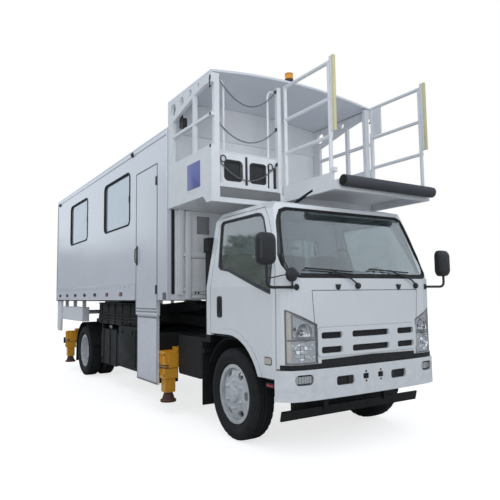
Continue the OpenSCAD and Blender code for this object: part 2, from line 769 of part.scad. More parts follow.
// Oval hole through a wheel disc
module hand_hole(y0, y1) translate([208, 0, 0]) window_y(-19, 19, -34, 34, 18.9, y0, y1);

// Disc wheel: barrel, dished disc with hand holes, hub and brake drum
module rim_front() color("silver") difference() {
    union() {
        turned(rim_barrel(1));
        turned([[0, 20], [140, 40], [200, 50], [rim_r - 10, 25], [rim_r - 10, 45], [225, 70], [185, 84], [120, 86], [88, 86], [80, 112], [0, 112]]);
        turned([[0, -85], [170, -85], [170, 5], [120, 60], [0, 60]]);
    }
    bar_y(40 + bearing_gap, 0, 0, -100, 40);
    for (a = [0:60:300]) rotate([0, a, 0]) translate([207, 0, 0]) window_y(-26, 26, -42, 42, 25.9, 15, 100);
}

module place_front() translate([xf, front_tyre_y, axle_z]) children();
module rim_front_left() place_front() rim_front();
module rim_front_right() side(-1) place_front() rim_front();
module tyre_front_left() place_front() tyre();
module tyre_front_right() side(-1) place_front() tyre();

// Twin rims whose discs meet between the tyres, with hub and drum
module rims_rear() color("silver") translate([xr, rear_tyre_y - twin_gap / 2, axle_z]) difference() {
    g = twin_gap / 2;
    union() {
        for (y = [-g, g]) translate([0, y, 0]) turned(rim_barrel(1));
        turned([[0, -190], [175, -190], [175, -90], [130, -16], [165, -16], [205, 60 - g], [rim_r - 10, 22 - g],
            [rim_r - 10, 40 - g], [172, -2], [172, 2], [rim_r - 10, g - 40], [rim_r - 10, g - 22], [205, g - 60],
            [165, 16], [110, 16], [95, 130], [0, 130]]);
    }
    bar_y(55 + bearing_gap, 0, 0, -300, rear_tyre_y - 20 - (rear_tyre_y - twin_gap / 2) + 2);
    for (a = [0:45:315]) rotate([0, a, 0]) hand_hole(-112, 130);
}
module rims_rear_left() rims_rear();
module rims_rear_right() side(-1) rims_rear();
module tyres_rear() for (y = [rear_tyre_y, rear_tyre_y - twin_gap]) translate([xr, y, axle_z]) tyre();
module tyres_rear_left() tyres_rear();
module tyres_rear_right() side(-1) tyres_rear();

// Scissor lift

// Straight arm between two pin places with round ends, drawn along its own length
module arm_bar(y0, y1) {
    translate([0, y1, 0]) rotate([90, 0, 0]) linear_extrude(height = y1 - y0) union() {
        translate([0, -arm_h / 2]) square([arm_l, arm_h]);
        circle(r = arm_h / 2);
        translate([arm_l, 0]) circle(r = arm_h / 2);
    }
}

// Outer arms: pinned to the base at the rear, rollers under the box at the front
module scissor_arms_outer() color("dimgray") translate([px, 0, pin_z]) rotate([0, -arm_a0, 0]) {
    pair() arm_bar(arm_out, arm_out + arm_t);
    bar_y(45, 150, 0, -arm_out, arm_out);
    bar_y(45, arm_l - 150, 0, -arm_out, arm_out);
    pair() bar_y(pin_r, 0, 0, arm_out + arm_t, arm_out + arm_t + 36);
    pair() bar_y(pin_r, arm_l / 2, 0, arm_in - 6, arm_out);
    pair() bar_y(roller_r, arm_l, 0, arm_out + arm_t, arm_out + arm_t + 50);
}

// Inner arms: pinned to the box at the rear, rollers on the base tracks at the front
module scissor_arms_inner() color("gray") translate([px, 0, pin_z + pin_rise]) rotate([0, arm_a0, 0]) {
    difference() {
        pair() arm_bar(arm_in, arm_in + arm_t);
        bar_y(pin_r + clear, arm_l / 2, 0, -500, 500);
    }
    bar_y(45, 150, 0, -arm_in, arm_in);
    bar_y(45, arm_l - 1645, 0, -arm_in, arm_in);
    bar_y(45, arm_l - 200, 0, -arm_in, arm_in);
    pair() bar_y(pin_r, 0, 0, arm_in - 50, arm_in);
    pair() bar_y(roller_r, arm_l, 0, arm_in - 56, arm_in);
    // Ears for the rod eyes
    pair() for (y = [cyl_y - 60, cyl_y + 45]) translate([0, y + 15, 0]) rotate([90, 0, 0]) linear_extrude(height = 15) difference() {
        union() {
            translate([arm_l - eye_run, -45]) square([eye_run - 1645, 90]);
            translate([arm_l - eye_run, 0]) circle(r = 45);
        }
        translate([arm_l - eye_run, 0]) circle(r = 26);
    }
}

module lift_barrels() color("gray") cylinder_line() pair() translate([0, cyl_y, 0]) {
    difference() {
        union() {
            translate([0, 0, 75]) cylinder(r = 55, h = 825);
            cylinder(r = 17, h = 80);
            bar_y(25, 0, 0, -31, 31);
            bar_y(42, 0, 0, -20 + clear, 20 - clear);
        }
        translate([0, 0, 120]) cylinder(r = 35 + clear, h = 900);
    }
}

module lift_rods() color("silver") cylinder_line() pair() translate([0, cyl_y, 0]) {
    translate([0, 0, 300]) cylinder(r = 35, h = lift_len - 330);
    difference() {
        translate([0, -22, lift_len]) rotate([-90, 0, 0]) cylinder(r = 45, h = 44);
        translate([0, -30, lift_len]) rotate([-90, 0, 0]) cylinder(r = 26, h = 60);
    }
}

// Places children along the lift cylinder's line, foot pin at the origin
module cylinder_line() translate([lift_foot[0], 0, lift_foot[1]])
    rotate([0, 90 - lift_tilt, 0]) children();

// Box

module box_floor() color("silver") {
    span([bx0, -(box_half - wall_t), box_z], [bx1 - wall_t, box_half - wall_t, floor_top]);
    // Floor covering, clear of the walls and posts
    sheet_y = box_half - wall_t - sheet_gap;
    span([bx0 + 60 + sheet_gap, -sheet_y, floor_top - 1], [bx1 - wall_t - sheet_gap, sheet_y, floor_top + sheet_t]);
    // Lugs for the inner arms
    pair() difference() {
        prism_y([[px - 110, box_z], [px - 50, pin_z + pin_rise - 45], [px + 50, pin_z + pin_rise - 45], [px + 110, box_z]],
            arm_in - 50, arm_in - 20);
        bar_y(pin_r + clear, px, pin_z + pin_rise, 0, 1000);
    }
    // Roller tracks for the outer arms
    pair() span([px + arm_run - track_run + 50, arm_out + arm_t + 2, pin_z + pin_rise + roller_r + clear], [px + arm_run + 120, arm_out + arm_t + 55, box_z]);
}

// Side wall on the left with its two windows
module side_wall() color("white") difference() {
    span([bx0, box_half - wall_t, box_z], [bx1, box_half, box_top - 30]);
    for (w = win_fronts) window_y(xf - w - win_w, xf - w, win_z0, win_z0 + win_h, win_r, wall_cut[0], wall_cut[1]);
}
// Lower rail and roof rail that stand out from a wall, up to x1
module wall_rails(x1) {
    span([bx0, box_half - 1, box_z], [x1, box_half + 6, 1600]);
    span([bx0, box_half - 1, box_top - 95], [bx1, box_half + 6, box_top - 30]);
}
module box_side_left() color("white") {
    side_wall();
    wall_rails(bx1);
}
module right_wall() difference() {
    side(-1) side_wall();
    span([door_x0 - door_gap, -wall_cut[1], box_z - 10], [door_x1 + door_gap, -wall_cut[0], door_z1 + door_gap]);
}
// Right wall with its door way and the inner stop frame that the closed door lies on
module box_side_right() color("white") {
    right_wall();
    side(-1) wall_rails(door_x0 - door_gap - 25);
    difference() {
        span([door_x0 - 40, -(box_half - door_t - clear), floor_top], [door_x1 + 40, -(box_half - wall_t - 18), door_z1 + 40]);
        span([door_x0 + 15, -wall_cut[1], floor_top - 1], [door_x1 - 15, -wall_cut[0], door_z1 - 15]);
    }
}

module box_front_wall() span([bx1 - wall_t, -(box_half - wall_t), box_z], [bx1, box_half - wall_t, box_top - 30]);
// Upright guides and cross rails on the outside of the front wall
module front_guides() {
    guide_y = box_half - 175;
    pair() span([bx1 - 1, guide_y, box_z + 60], [bx1 + 40, guide_y + 55, canopy_z]);
    for (z = [1480, 1900]) span([bx1 - 1, -guide_y, z], [bx1 + 25, guide_y, z + 50]);
}

module box_rear_frame() difference() {
    span([bx0, -(box_half - wall_t), floor_top], [bx0 + 60, box_half - wall_t, box_top - 30]);
    span([bx0 - 1, -(box_half - 110), floor_top - 1], [bx0 + 61, box_half - 110, 3330]);
}

module box_end_walls() color("white") {
    box_front_wall();
    box_rear_frame();
    front_guides();
}

module box_roof() color("white") difference() {
    translate([bx0, 0, 0]) rotate([90, 0, 90]) linear_extrude(height = bx1 - bx0) union() {
        round_rect([-box_half, box_top - 60], [box_half, box_top], 25);
    }
    span([bx0 - 1, -wall_cut[1], box_top - 61], [bx1 + 1, wall_cut[1], box_top - 30]);
}

module box_windows() color("gray") pair() for (w = win_fronts) {
    x0 = xf - w - win_w;
    window_y(x0 + clear, xf - w - clear, win_z0 + clear, win_z0 + win_h - clear, win_r - clear, box_half - 26, box_half - 18);
}

// Stowed tail lift under the rear of the box: cheek plates, cassettes and cross tube
module tail_lift() color("gainsboro") {
    cheek_y = box_half - 65;
    pair() {
        prism_y([[bx0, 790], [bx0 + 60, 745], [bx0 + 290, 745], [bx0 + 340, box_z], [bx0, box_z]], cheek_y, cheek_y + 40);
        span([bx0 + 100, cheek_y - 125, 985], [bx0 + 1830, cheek_y, 1245]);
        for (x = [bx0 + 400, bx0 + 1060, bx0 + 1720]) span([x, cheek_y - 85, 1244], [x + 40, cheek_y - 25, box_z]);
    }
    bar_y(45, bx0 + 70, 1110, -cheek_y - 5, cheek_y + 5);
}

// Canopy over the cab

// Lower edge of a canopy side's upper panel, as x ahead of the box front wall and height
panel_edge = [[140, 3480], [200, 3496], [665, 3602], [710, 3612], [910, 3645], [canopy_l + 1, 3640]];
// Openings of a canopy side: two below the middle bar, and two above it that reach up to the panel's edge
module side_openings() {
    for (c = [[bx1 + 140, bx1 + 665], [bx1 + 710, cx1 + 1]]) span([c[0], wall_cut[0], 2975], [c[1], wall_cut[1], 3285]);
    for (k = [[0, 2], [3, 5]]) prism_y(concat([[bx1 + panel_edge[k[1]][0], 3318], [bx1 + panel_edge[k[0]][0], 3318]],
        [for (i = [k[0]:k[1]]) [bx1 + panel_edge[i][0], panel_edge[i][1]]]), wall_cut[0], wall_cut[1]);
    // Round holes that get smaller to the front: x ahead of the box front wall, height, radius
    for (h = [[153, 3625, 72], [386, 3657, 50], [610, 3681, 37], [809, 3699, 22]])
        bar_y(h[2], bx1 + h[0], h[1], wall_cut[0], wall_cut[1]);
}
// Low barrier between the front posts with two small windows
module front_barrier() difference() {
    span([cx1 - 73, -(box_half - wall_t - 55), canopy_deck - 1], [cx1 - 45, gang_right - 80, 2930]);
    for (y = [-(box_half - 190), -(box_half - 505)]) window_x(y, y + 195, 2640, 2835, 40, cx1 - 80, cx1);
}
// Sheet that closes the back above the box roof
module canopy_back() intersection() {
    span([bx1, -(box_half - wall_t + 1), box_top - 85], [bx1 + 8, box_half - wall_t + 1, canopy_top + 200]);
    bar_x(roof_r - clear, 0, canopy_top + canopy_rise - roof_r, bx1 - 1, bx1 + 9);
}
module canopy_sides() {
    pair() difference() {
        prism_y([[bx1, canopy_z], [cx1 - 190, canopy_z], [cx1 - 110, canopy_z - 75], [cx1, canopy_z - 75],
            [cx1, canopy_top], [bx1, canopy_top]], box_half - wall_t, box_half);
        side_openings();
    }
    // Front posts and the front beam
    pair() span([cx1 - 50, box_half - wall_t - 60, canopy_deck], [cx1, box_half - wall_t + 1, canopy_top]);
    span([cx1 - 50, gang_right - 85, canopy_deck], [cx1, gang_right - 35, canopy_top]);
    span([cx1 - 50, -(box_half - wall_t), canopy_z - 75], [cx1, box_half - wall_t, canopy_z]);
    span([cx1 - 40, -(box_half - wall_t - 60), 2548], [cx1 - 10, gang_right - 85, 2585]);
    front_barrier();
    canopy_back();
}

module canopy_floor() span([bx1, -(box_half - wall_t), canopy_z], [cx1, box_half - wall_t, canopy_deck]);
module canopy_frame() color("white") {
    canopy_sides();
    canopy_floor();
}

// Radius of the arched roof's underside
roof_r = (box_half * box_half + canopy_rise * canopy_rise) / (2 * canopy_rise);
module canopy_roof() color("white") {
    intersection() {
        difference() {
            bar_x(roof_r, 0, canopy_top + canopy_rise - roof_r + 25, bx1, cx1);
            bar_x(roof_r, 0, canopy_top + canopy_rise - roof_r, bx1 - 1, cx1 + 1);
        }
        span([bx1, -box_half, canopy_top], [cx1, box_half, canopy_top + 200]);
    }
}

// Barrier chains across the right half of the canopy front
// Columns: height at the corner post, height at the inner post, lowest point
swags = [[3705, 3700, 3466], [3225, 3265, 3061], [2825, 2865, 2643]];
chain_y0 = -(box_half - wall_t - 60);
chain_y1 = gang_right - 85;
chain_n = 14;
chain_r = 9;
function swag_z(s, u) = s[0] + (s[1] - s[0]) * u - 4 * u * (1 - u) * ((s[0] + s[1]) / 2 - s[2]);
module swag(s) {
    pts = [for (i = [0:chain_n], a = [0:45:315]) [cx1 - 25 + chain_r * cos(a),
        chain_y0 + (chain_y1 - chain_y0) * i / chain_n, swag_z(s, i / chain_n) + chain_r * sin(a)]];
    faces = concat([[for (k = [0:7]) k]], [for (i = [0:chain_n - 1], k = [0:7])
        [i * 8 + k, (i + 1) * 8 + k, (i + 1) * 8 + (k + 1) % 8, i * 8 + (k + 1) % 8]],
        [[for (k = [7:-1:0]) chain_n * 8 + k]]);
    polyhedron(points = pts, faces = faces);
}
module chains() color("silver") for (s = swags) swag(s);

module beacon() color("orange") translate([cx1 - 60, -90, canopy_top + canopy_rise + 25]) {
    cylinder(r = 55, h = 30);
    translate([0, 0, 30]) cylinder(r = 48, h = 85);
}

// Doors of the box

// Side door with the narrower skirt that hides the steps
module side_door() color("white") {
    span([door_x0, -box_half, door_z0], [door_x1, -(box_half - door_t), door_z1]);
    span([step_x0, -(box_half - 20), step_z0], [step_x1, -(box_half - 50), door_z0 + 40]);
}

module rear_leaf() color("white") span([bx0 - 40, 4, floor_top - 20], [bx0 - clear, box_half - 60, 3350]);
module rear_door_left() rear_leaf();
module rear_door_right() side(-1) rear_leaf();

// Stabiliser legs

module leg(x) color("orange") {
    span([x - leg_w / 2, leg_y - leg_w / 2, foot_z + 115], [x + leg_w / 2, leg_y + leg_w / 2, leg_top - 15]);
    bar_z(foot_r, x, leg_y, foot_z, foot_z + 25);
    translate([x, leg_y, foot_z + 24]) cylinder(r1 = 78, r2 = 42, h = 92);
}
module leg_front_left() leg(leg_xs[0]);
module leg_front_right() side(-1) leg(leg_xs[0]);
module leg_rear_left() leg(leg_xs[1]);
module leg_rear_right() side(-1) leg(leg_xs[1]);

// Gangway that slides out of the canopy

gang_y0 = gang_right - 20;
gang_y1 = box_half;
slide_y = box_half - wall_t - 110;
rail_posts = [cx1 + 40, gx1 - 20];

// One side's railing at its own plane
module railing(y) {
    for (x = rail_posts) bar_z(20, x, y, gang_beam - 1, gang_top - 20);
    for (z = [gang_top - 20, 3370, 2990]) bar_x(20, y, z, rail_posts[0] - 20, rail_posts[1] + 20);
}
gang_beam = 2620;
module gangway_frame() color("white") {
    deck_z = canopy_deck + clear;
    // Deck plate that runs over the canopy floor
    span([bx1 + 450, gang_y0, deck_z], [gx1, slide_y + 40, deck_z + 12]);
    span([cx1 + 6, slide_y + 40, deck_z], [gx1, gang_y1, deck_z + 12]);
    // Runner beams inside the canopy
    for (y = [gang_y0, slide_y]) span([bx1 + 450, y, deck_z], [gx1, y + 40, gang_beam]);
    // Outer beams ahead of the canopy
    span([cx1 + 6, gang_y0, canopy_z - 16], [gx1, gang_y0 + 40, gang_beam]);
    span([cx1 + 6, gang_y1 - 40, canopy_z - 16], [gx1, gang_y1, gang_beam]);
    span([gx1 - 10, gang_y0, canopy_z - 16], [gx1 + 48.5, gang_y1, deck_z + 12]);
    railing(gang_y0 + 20);
    railing(gang_y1 - 20);
    // Plate on the left inner post and roll brackets at the front
    span([cx1 + 25, gang_y1 - 30, 3400], [cx1 + 190, gang_y1 - 10, gang_top - 25]);
    span([gx1 - 15, gang_y0, gang_beam - 1], [gx1 + 45, gang_y0 + 40, gang_beam + 45]);
}

module gangway_guards() color("khaki") for (y = [gang_y0 + 5, gang_y1 - 35])
    span([gx1 + clear, y, 3030], [gx1 + 62, y + 30, 3800]);

module gangway_roll() color("black") bar_y(roll_r, gx1 + 49 + roll_r, 2526, gang_y0 + 55, gang_y1 - 28);

chassis_frame();
subframe();
axles();
leaf_springs();
drivetrain();
chassis_boxes();
mudguards();
leg_housings();
side_steps();
front_bumper();
cab_floor();
cab_front_panel();
cab_roof();
cab_rear_wall();
cab_glass();
headlamps();
grille();
mirrors();
cab_seats();
dashboard();
cab_door_left();
cab_door_glass_left();
cab_door_right();
cab_door_glass_right();
knuckle_left();
knuckle_right();
rim_front_left();
rim_front_right();
tyre_front_left();
tyre_front_right();
rims_rear_left();
rims_rear_right();
tyres_rear_left();
tyres_rear_right();
scissor_arms_outer();
scissor_arms_inner();
lift_barrels();
lift_rods();
leg_front_left();
leg_front_right();
leg_rear_left();
leg_rear_right();
box_floor();
box_side_left();
box_side_right();
box_end_walls();
box_roof();
box_windows();
tail_lift();
canopy_frame();
canopy_roof();
chains();
beacon();
side_door();
rear_door_left();
rear_door_right();
gangway_frame();
gangway_guards();
gangway_roll();
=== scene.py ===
"""Ambulift on a light truck: materials, detail pieces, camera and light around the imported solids. Metres."""
import math

import bmesh
import bpy
from mathutils import Matrix, Vector


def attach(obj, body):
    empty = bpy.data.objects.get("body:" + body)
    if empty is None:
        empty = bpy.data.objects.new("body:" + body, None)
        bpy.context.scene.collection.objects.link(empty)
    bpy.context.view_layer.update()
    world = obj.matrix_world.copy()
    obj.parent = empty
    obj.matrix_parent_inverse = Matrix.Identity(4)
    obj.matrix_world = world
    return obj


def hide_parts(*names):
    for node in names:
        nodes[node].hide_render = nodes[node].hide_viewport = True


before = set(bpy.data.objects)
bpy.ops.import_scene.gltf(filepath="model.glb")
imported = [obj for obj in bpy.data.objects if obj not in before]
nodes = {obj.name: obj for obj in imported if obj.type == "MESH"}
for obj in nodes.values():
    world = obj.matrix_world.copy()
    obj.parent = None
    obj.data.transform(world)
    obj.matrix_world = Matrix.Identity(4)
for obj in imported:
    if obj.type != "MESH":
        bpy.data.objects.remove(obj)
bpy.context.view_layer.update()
scene = bpy.context.scene
scene.view_settings.view_transform = "Standard"

# Places shared by many pieces
XF, XR, AXLE_Z = 3.03, -2.29, 0.448
CAB_FRONT, CAB_HALF, BELT, LEAN = 0.968, 0.997, 1.567, math.radians(23.5)
CAB_F = XF + CAB_FRONT
BOX_X0, BOX_X1, BOX_Y = -3.97, 1.88, 1.15
REAR_X = -4.01
DOOR_X0, DOOR_X1, DOOR_Z1 = 0.807, 1.55, 3.093
CANOPY_X1 = 2.978
ROLL_X, ROLL_Z = 3.882, 2.526
SIDES = ((1, "left"), (-1, "right"))


# Camera

def make_camera():
    yaw, pitch, roll = 2.57403, 0.08682, -0.01346
    ahead = Vector((math.cos(yaw) * math.cos(pitch), math.sin(yaw) * math.cos(pitch), math.sin(pitch)))
    right = ahead.cross(Vector((0, 0, 1))).normalized()
    up = right.cross(ahead)
    c, s = math.cos(roll), math.sin(roll)
    data = bpy.data.cameras.new("camera")
    data.sensor_fit = "HORIZONTAL"
    data.sensor_width = 36.0
    data.lens = 37.391
    data.clip_end = 200
    cam = bpy.data.objects.new("camera", data)
    scene.collection.objects.link(cam)
    place = Matrix((c * right + s * up, c * up - s * right, -ahead)).transposed().to_4x4()
    place.translation = Vector((7.57517, -3.62721, 1.42337))
    cam.matrix_world = place
    scene.camera = cam


make_camera()


# Materials

MAT = {}


def link(a, b):
    """Links an output to an input."""
    b.id_data.links.new(a, b)


def put(node, **values):
    """Sets inputs of a node or links outputs to them; an underscore in a key stands for a space."""
    for key, value in values.items():
        socket = node.inputs[key.replace("_", " ")]
        if isinstance(value, bpy.types.NodeSocket):
            link(value, socket)
        else:
            socket.default_value = value


def new(tree, kind, **values):
    """New shader node with some of its inputs put."""
    node = tree.nodes.new("ShaderNode" + kind)
    put(node, **values)
    return node


def node_tree(name):
    """New material, kept under its name: its nodes, its main shader and the object's coordinates."""
    MAT[name] = bpy.data.materials.new(name)
    MAT[name].use_nodes = True
    tree = MAT[name].node_tree
    return tree, tree.nodes["Principled BSDF"], new(tree, "TexCoord").outputs["Object"]


def noise(tree, coords, scale, detail=4.0, rough=0.55, stretch=None):
    if stretch:
        coords = new(tree, "Mapping", Vector=coords, Scale=stretch).outputs["Vector"]
    return new(tree, "TexNoise", Vector=coords, Scale=scale, Detail=detail, Roughness=rough).outputs["Fac"]


def remap(tree, value, a, b, lo, hi):
    """Brings the range a to b onto lo to hi."""
    return new(tree, "MapRange", Value=value, From_Min=a, From_Max=b, To_Min=lo, To_Max=hi).outputs[0]


def calc(tree, operation, a, b):
    n = new(tree, "Math")
    n.operation = operation
    link(a, n.inputs[0])
    link(b, n.inputs[1])
    return n.outputs[0]


def axes(tree, vector):
    return new(tree, "SeparateXYZ", Vector=vector).outputs


def mix(tree, fac, a, b):
    """Blend of two colours, each a tuple or an output."""
    n = new(tree, "Mix")
    n.data_type = "RGBA"
    link(fac, n.inputs[0])
    for socket, v in ((n.inputs[6], a), (n.inputs[7], b)):
        if isinstance(v, tuple):
            socket.default_value = (*v, 1)
        else:
            link(v, socket)
    return n.outputs[2]


def bump(tree, height, strength, depth, **normal):
    return new(tree, "Bump", Height=height, Strength=strength, Distance=depth, **normal).outputs["Normal"]


def surface(name, base, rough, metal=0.0, vary=0.05, scale=3.0, grain=0.0, fine=400.0, stretch=None,
            dirt=None, speck=0.0, edge=0.0, coat=0.0, wave=0.0, seam=0.0, sheen=0.5):
    """Paint, metal, plastic or rubber with colour drift, uneven gloss, grain and dirt that thins out upwards.

    dirt holds its colour, the heights between which it thins out and its share at the lower one. edge is the
    radius of softened edges, seam the reach of painted shade that darkens narrow gaps and creases.
    """
    tree, out, coords = node_tree(name)
    drift = noise(tree, coords, scale, 5.0, 0.6, stretch)
    dark = tuple(c * (1 - vary) for c in base)
    light = tuple(min(1.0, c * (1 + vary)) for c in base)
    colour = mix(tree, remap(tree, drift, 0.3, 0.7, 0, 1), dark, light)
    gloss = remap(tree, drift, 0.3, 0.7, rough * 0.85, min(1.0, rough * 1.2))
    if dirt:
        shade, low, high, most = dirt
        height = remap(tree, axes(tree, coords)["Z"], low, high, most, 0.02)
        patches = remap(tree, noise(tree, coords, 9.0, 8.0, 0.7), 0.38, 0.68, 0, 1)
        colour = mix(tree, calc(tree, "MULTIPLY", height, patches), colour, shade)
    if speck:
        spots = remap(tree, noise(tree, coords, 60.0, 6.0, 0.8), 0.62, 0.7, 0, speck)
        colour = mix(tree, spots, colour, tuple(c * 0.45 for c in base))
    # Painted shade: ambient occlusion darkens the colour in narrow gaps and creases.
    if seam:
        near = new(tree, "AmbientOcclusion", Distance=seam)
        near.samples = 6
        colour = mix(tree, remap(tree, near.outputs["AO"], 0.2, 0.75, 1, 0), colour, (0.025, 0.026, 0.028))
    normal = {}
    if edge:
        soft = new(tree, "Bevel", Radius=edge)
        soft.samples = 4
        normal["Normal"] = soft.outputs["Normal"]
    for strength, size, depth in ((grain, fine, 0.001), (wave, 1.6, 0.02)):
        if strength:
            normal["Normal"] = bump(tree, noise(tree, coords, size, 3.0), strength, depth, **normal)
    put(out, Base_Color=colour, Roughness=gloss, Metallic=metal, Specular_IOR_Level=sheen,
        Coat_Weight=coat, Coat_Roughness=0.08, **normal)


def paint_underside_shade(name):
    """Paints the faces that look down near black and takes their metal away: painted shade under the box."""
    tree = MAT[name].node_tree
    out = tree.nodes["Principled BSDF"]
    face = new(tree, "NewGeometry").outputs["True Normal"]
    down = remap(tree, axes(tree, face)["Z"], -0.4, -0.6, 0, 1)
    top = out.inputs["Base Color"].links[0].from_socket
    put(out, Base_Color=mix(tree, down, top, (0.012, 0.012, 0.013)),
        Metallic=remap(tree, down, 0, 1, out.inputs["Metallic"].default_value, 0))


def clear(name, tint, rough, ior=1.45, through=1.0, cover=1.0, shine=0.0):
    """Glass or clear plastic with faint smears in its gloss; a thin cover lets light straight through."""
    tree, out, coords = node_tree(name)
    smear = noise(tree, coords, 4.0, 6.0, 0.6)
    shade = mix(tree, remap(tree, smear, 0.35, 0.7, 0, 1), tint, tuple(c * 0.93 for c in tint))
    gloss = remap(tree, smear, 0.4, 0.75, rough, rough * 2.5)
    put(out, Base_Color=shade, Roughness=gloss, Transmission_Weight=through, IOR=ior, Alpha=cover)
    if shine:
        put(out, Coat_Weight=1.0, Coat_IOR=shine, Coat_Roughness=rough)


def seat_cloth():
    """Woven upholstery: fine crossing threads with a soft sheen."""
    tree, out, coords = node_tree("seat_cloth")
    threads = []
    for axis in ("X", "Y"):
        wave = new(tree, "TexWave", Vector=coords, Scale=120.0, Distortion=0.6)
        wave.bands_direction = axis
        threads.append(wave.outputs["Fac"])
    weave = calc(tree, "MULTIPLY", *threads)
    cloth = mix(tree, weave, (0.055, 0.058, 0.065), (0.13, 0.135, 0.15))
    put(out, Base_Color=cloth, Roughness=remap(tree, weave, 0, 1, 0.95, 0.75), Sheen_Weight=0.4,
        Normal=bump(tree, weave, 0.4, 0.001))


ROAD = (0.21, 0.19, 0.165)
GREASE = (0.034, 0.034, 0.034)
# white_paint and box_panel darken their narrow gaps with painted shade through seam.
surface("white_paint", (0.8, 0.815, 0.84), 0.22, vary=0.02, grain=0.05, fine=260,
        dirt=(ROAD, 0.35, 1.1, 0.25), edge=0.006, coat=0.5, seam=0.016)
surface("box_panel", (0.7, 0.72, 0.78), 0.2, vary=0.02, scale=1.2, wave=0.05, grain=0.02,
        dirt=(ROAD, 0.3, 2.2, 0.12), edge=0.006, coat=1.0, seam=0.016)
surface("frame_white", (0.76, 0.775, 0.8), 0.33, vary=0.04, scale=8, grain=0.12, fine=350, speck=0.05,
        edge=0.005)
surface("black_steel", (0.013, 0.014, 0.015), 0.5, vary=0.25, scale=7, grain=0.25, fine=220,
        dirt=(GREASE, 0.2, 1.4, 0.4), edge=0.004, sheen=0.22)
surface("grey_steel", (0.045, 0.046, 0.05), 0.45, vary=0.15, scale=6, grain=0.2, fine=220,
        dirt=(GREASE, 0.3, 1.6, 0.4), edge=0.004)
surface("iron", (0.1, 0.1, 0.105), 0.6, metal=0.35, vary=0.3, scale=12, grain=0.6, fine=180,
        dirt=(GREASE, 0.2, 1.2, 0.4), edge=0.006)
surface("silver_rim", (0.7, 0.715, 0.74), 0.34, metal=0.45, vary=0.06, scale=14, grain=0.15, fine=500,
        speck=0.3, dirt=((0.12, 0.11, 0.1), 0.1, 1.0, 0.35), edge=0.004)
surface("amber_paint", (0.86, 0.4, 0.03), 0.38, vary=0.1, scale=9, grain=0.2, fine=240, speck=0.6,
        dirt=((0.1, 0.07, 0.05), 0.1, 1.0, 0.6), edge=0.004)
surface("black_plastic", (0.014, 0.0145, 0.0165), 0.45, vary=0.2, scale=10, grain=0.35, fine=520,
        dirt=(GREASE, 0.2, 1.3, 0.3), edge=0.004)
surface("grey_plastic", (0.17, 0.175, 0.18), 0.5, vary=0.06, scale=8, grain=0.4, fine=480, edge=0.006)
surface("tyre", (0.014, 0.0145, 0.0155), 0.75, vary=0.2, scale=10, grain=0.4, fine=300,
        dirt=((0.06, 0.06, 0.06), 0.0, 0.9, 0.22), sheen=0.3)
surface("rubber", (0.05, 0.052, 0.062), 0.58, vary=0.15, scale=12, grain=0.5, fine=420)
surface("deck", (0.56, 0.565, 0.57), 0.38, metal=0.8, vary=0.06, scale=5, grain=0.3, fine=260,
        stretch=(1, 12, 1), edge=0.003)
surface("yellow_guard", (0.7, 0.64, 0.36), 0.5, vary=0.06, scale=7, grain=0.3, fine=300, speck=0.1,
        edge=0.004)
surface("chain_steel", (0.5, 0.5, 0.51), 0.3, metal=0.9, vary=0.12, scale=40, grain=0.2)
surface("chain_dark", (0.2, 0.2, 0.21), 0.42, metal=0.6, vary=0.2, scale=40, grain=0.2)
surface("reflector", (0.56, 0.57, 0.59), 0.2, metal=0.85, vary=0.05, scale=30, grain=0.1)
surface("lamp_grey", (0.58, 0.52, 0.46), 0.16, vary=0.12, scale=70, grain=0.2, coat=0.8)
# Box windows: opaque, partly metallic panes whose pale blue colour is a painted sky reflection; the world adds
# real reflections too.
surface("window_painted_sky", (0.5, 0.56, 0.6), 0.05, metal=0.6, vary=0.07, scale=1.4, wave=0.02)
surface("dark_pane", (0.02, 0.022, 0.026), 0.12, vary=0.25, scale=6, coat=0.3)
surface("rust", (0.085, 0.035, 0.034), 0.7, vary=0.35, scale=20, grain=0.7, fine=160, speck=0.6)
surface("chrome", (0.8, 0.81, 0.83), 0.09, metal=1.0, vary=0.03, scale=12)
surface("mirror", (0.86, 0.88, 0.9), 0.04, metal=1.0, vary=0.02, scale=5)
surface("blue_plate", (0.13, 0.155, 0.4), 0.35, vary=0.03, scale=2)
surface("dark_gap", (0.01, 0.01, 0.011), 0.7, vary=0.2, scale=20, grain=0.3)
surface("red_lens", (0.35, 0.012, 0.014), 0.15, vary=0.12, scale=60, coat=0.8)
surface("amber_glow", (0.78, 0.27, 0.02), 0.15, vary=0.1, scale=60, coat=0.8)
surface("rubber_grey", (0.24, 0.245, 0.255), 0.55, vary=0.1, scale=10, grain=0.3)
clear("glass", (0.54, 0.62, 0.63), 0.012, shine=1.9)
clear("door_glass", (0.34, 0.4, 0.41), 0.012, shine=2.4)
clear("lamp_glass", (0.93, 0.95, 0.96), 0.015, ior=1.4, through=0.0, cover=0.07)
clear("amber_lens", (0.95, 0.42, 0.04), 0.06, through=0.6)
seat_cloth()
# Painted shade: the box floor's downward faces go near black.
paint_underside_shade("deck")

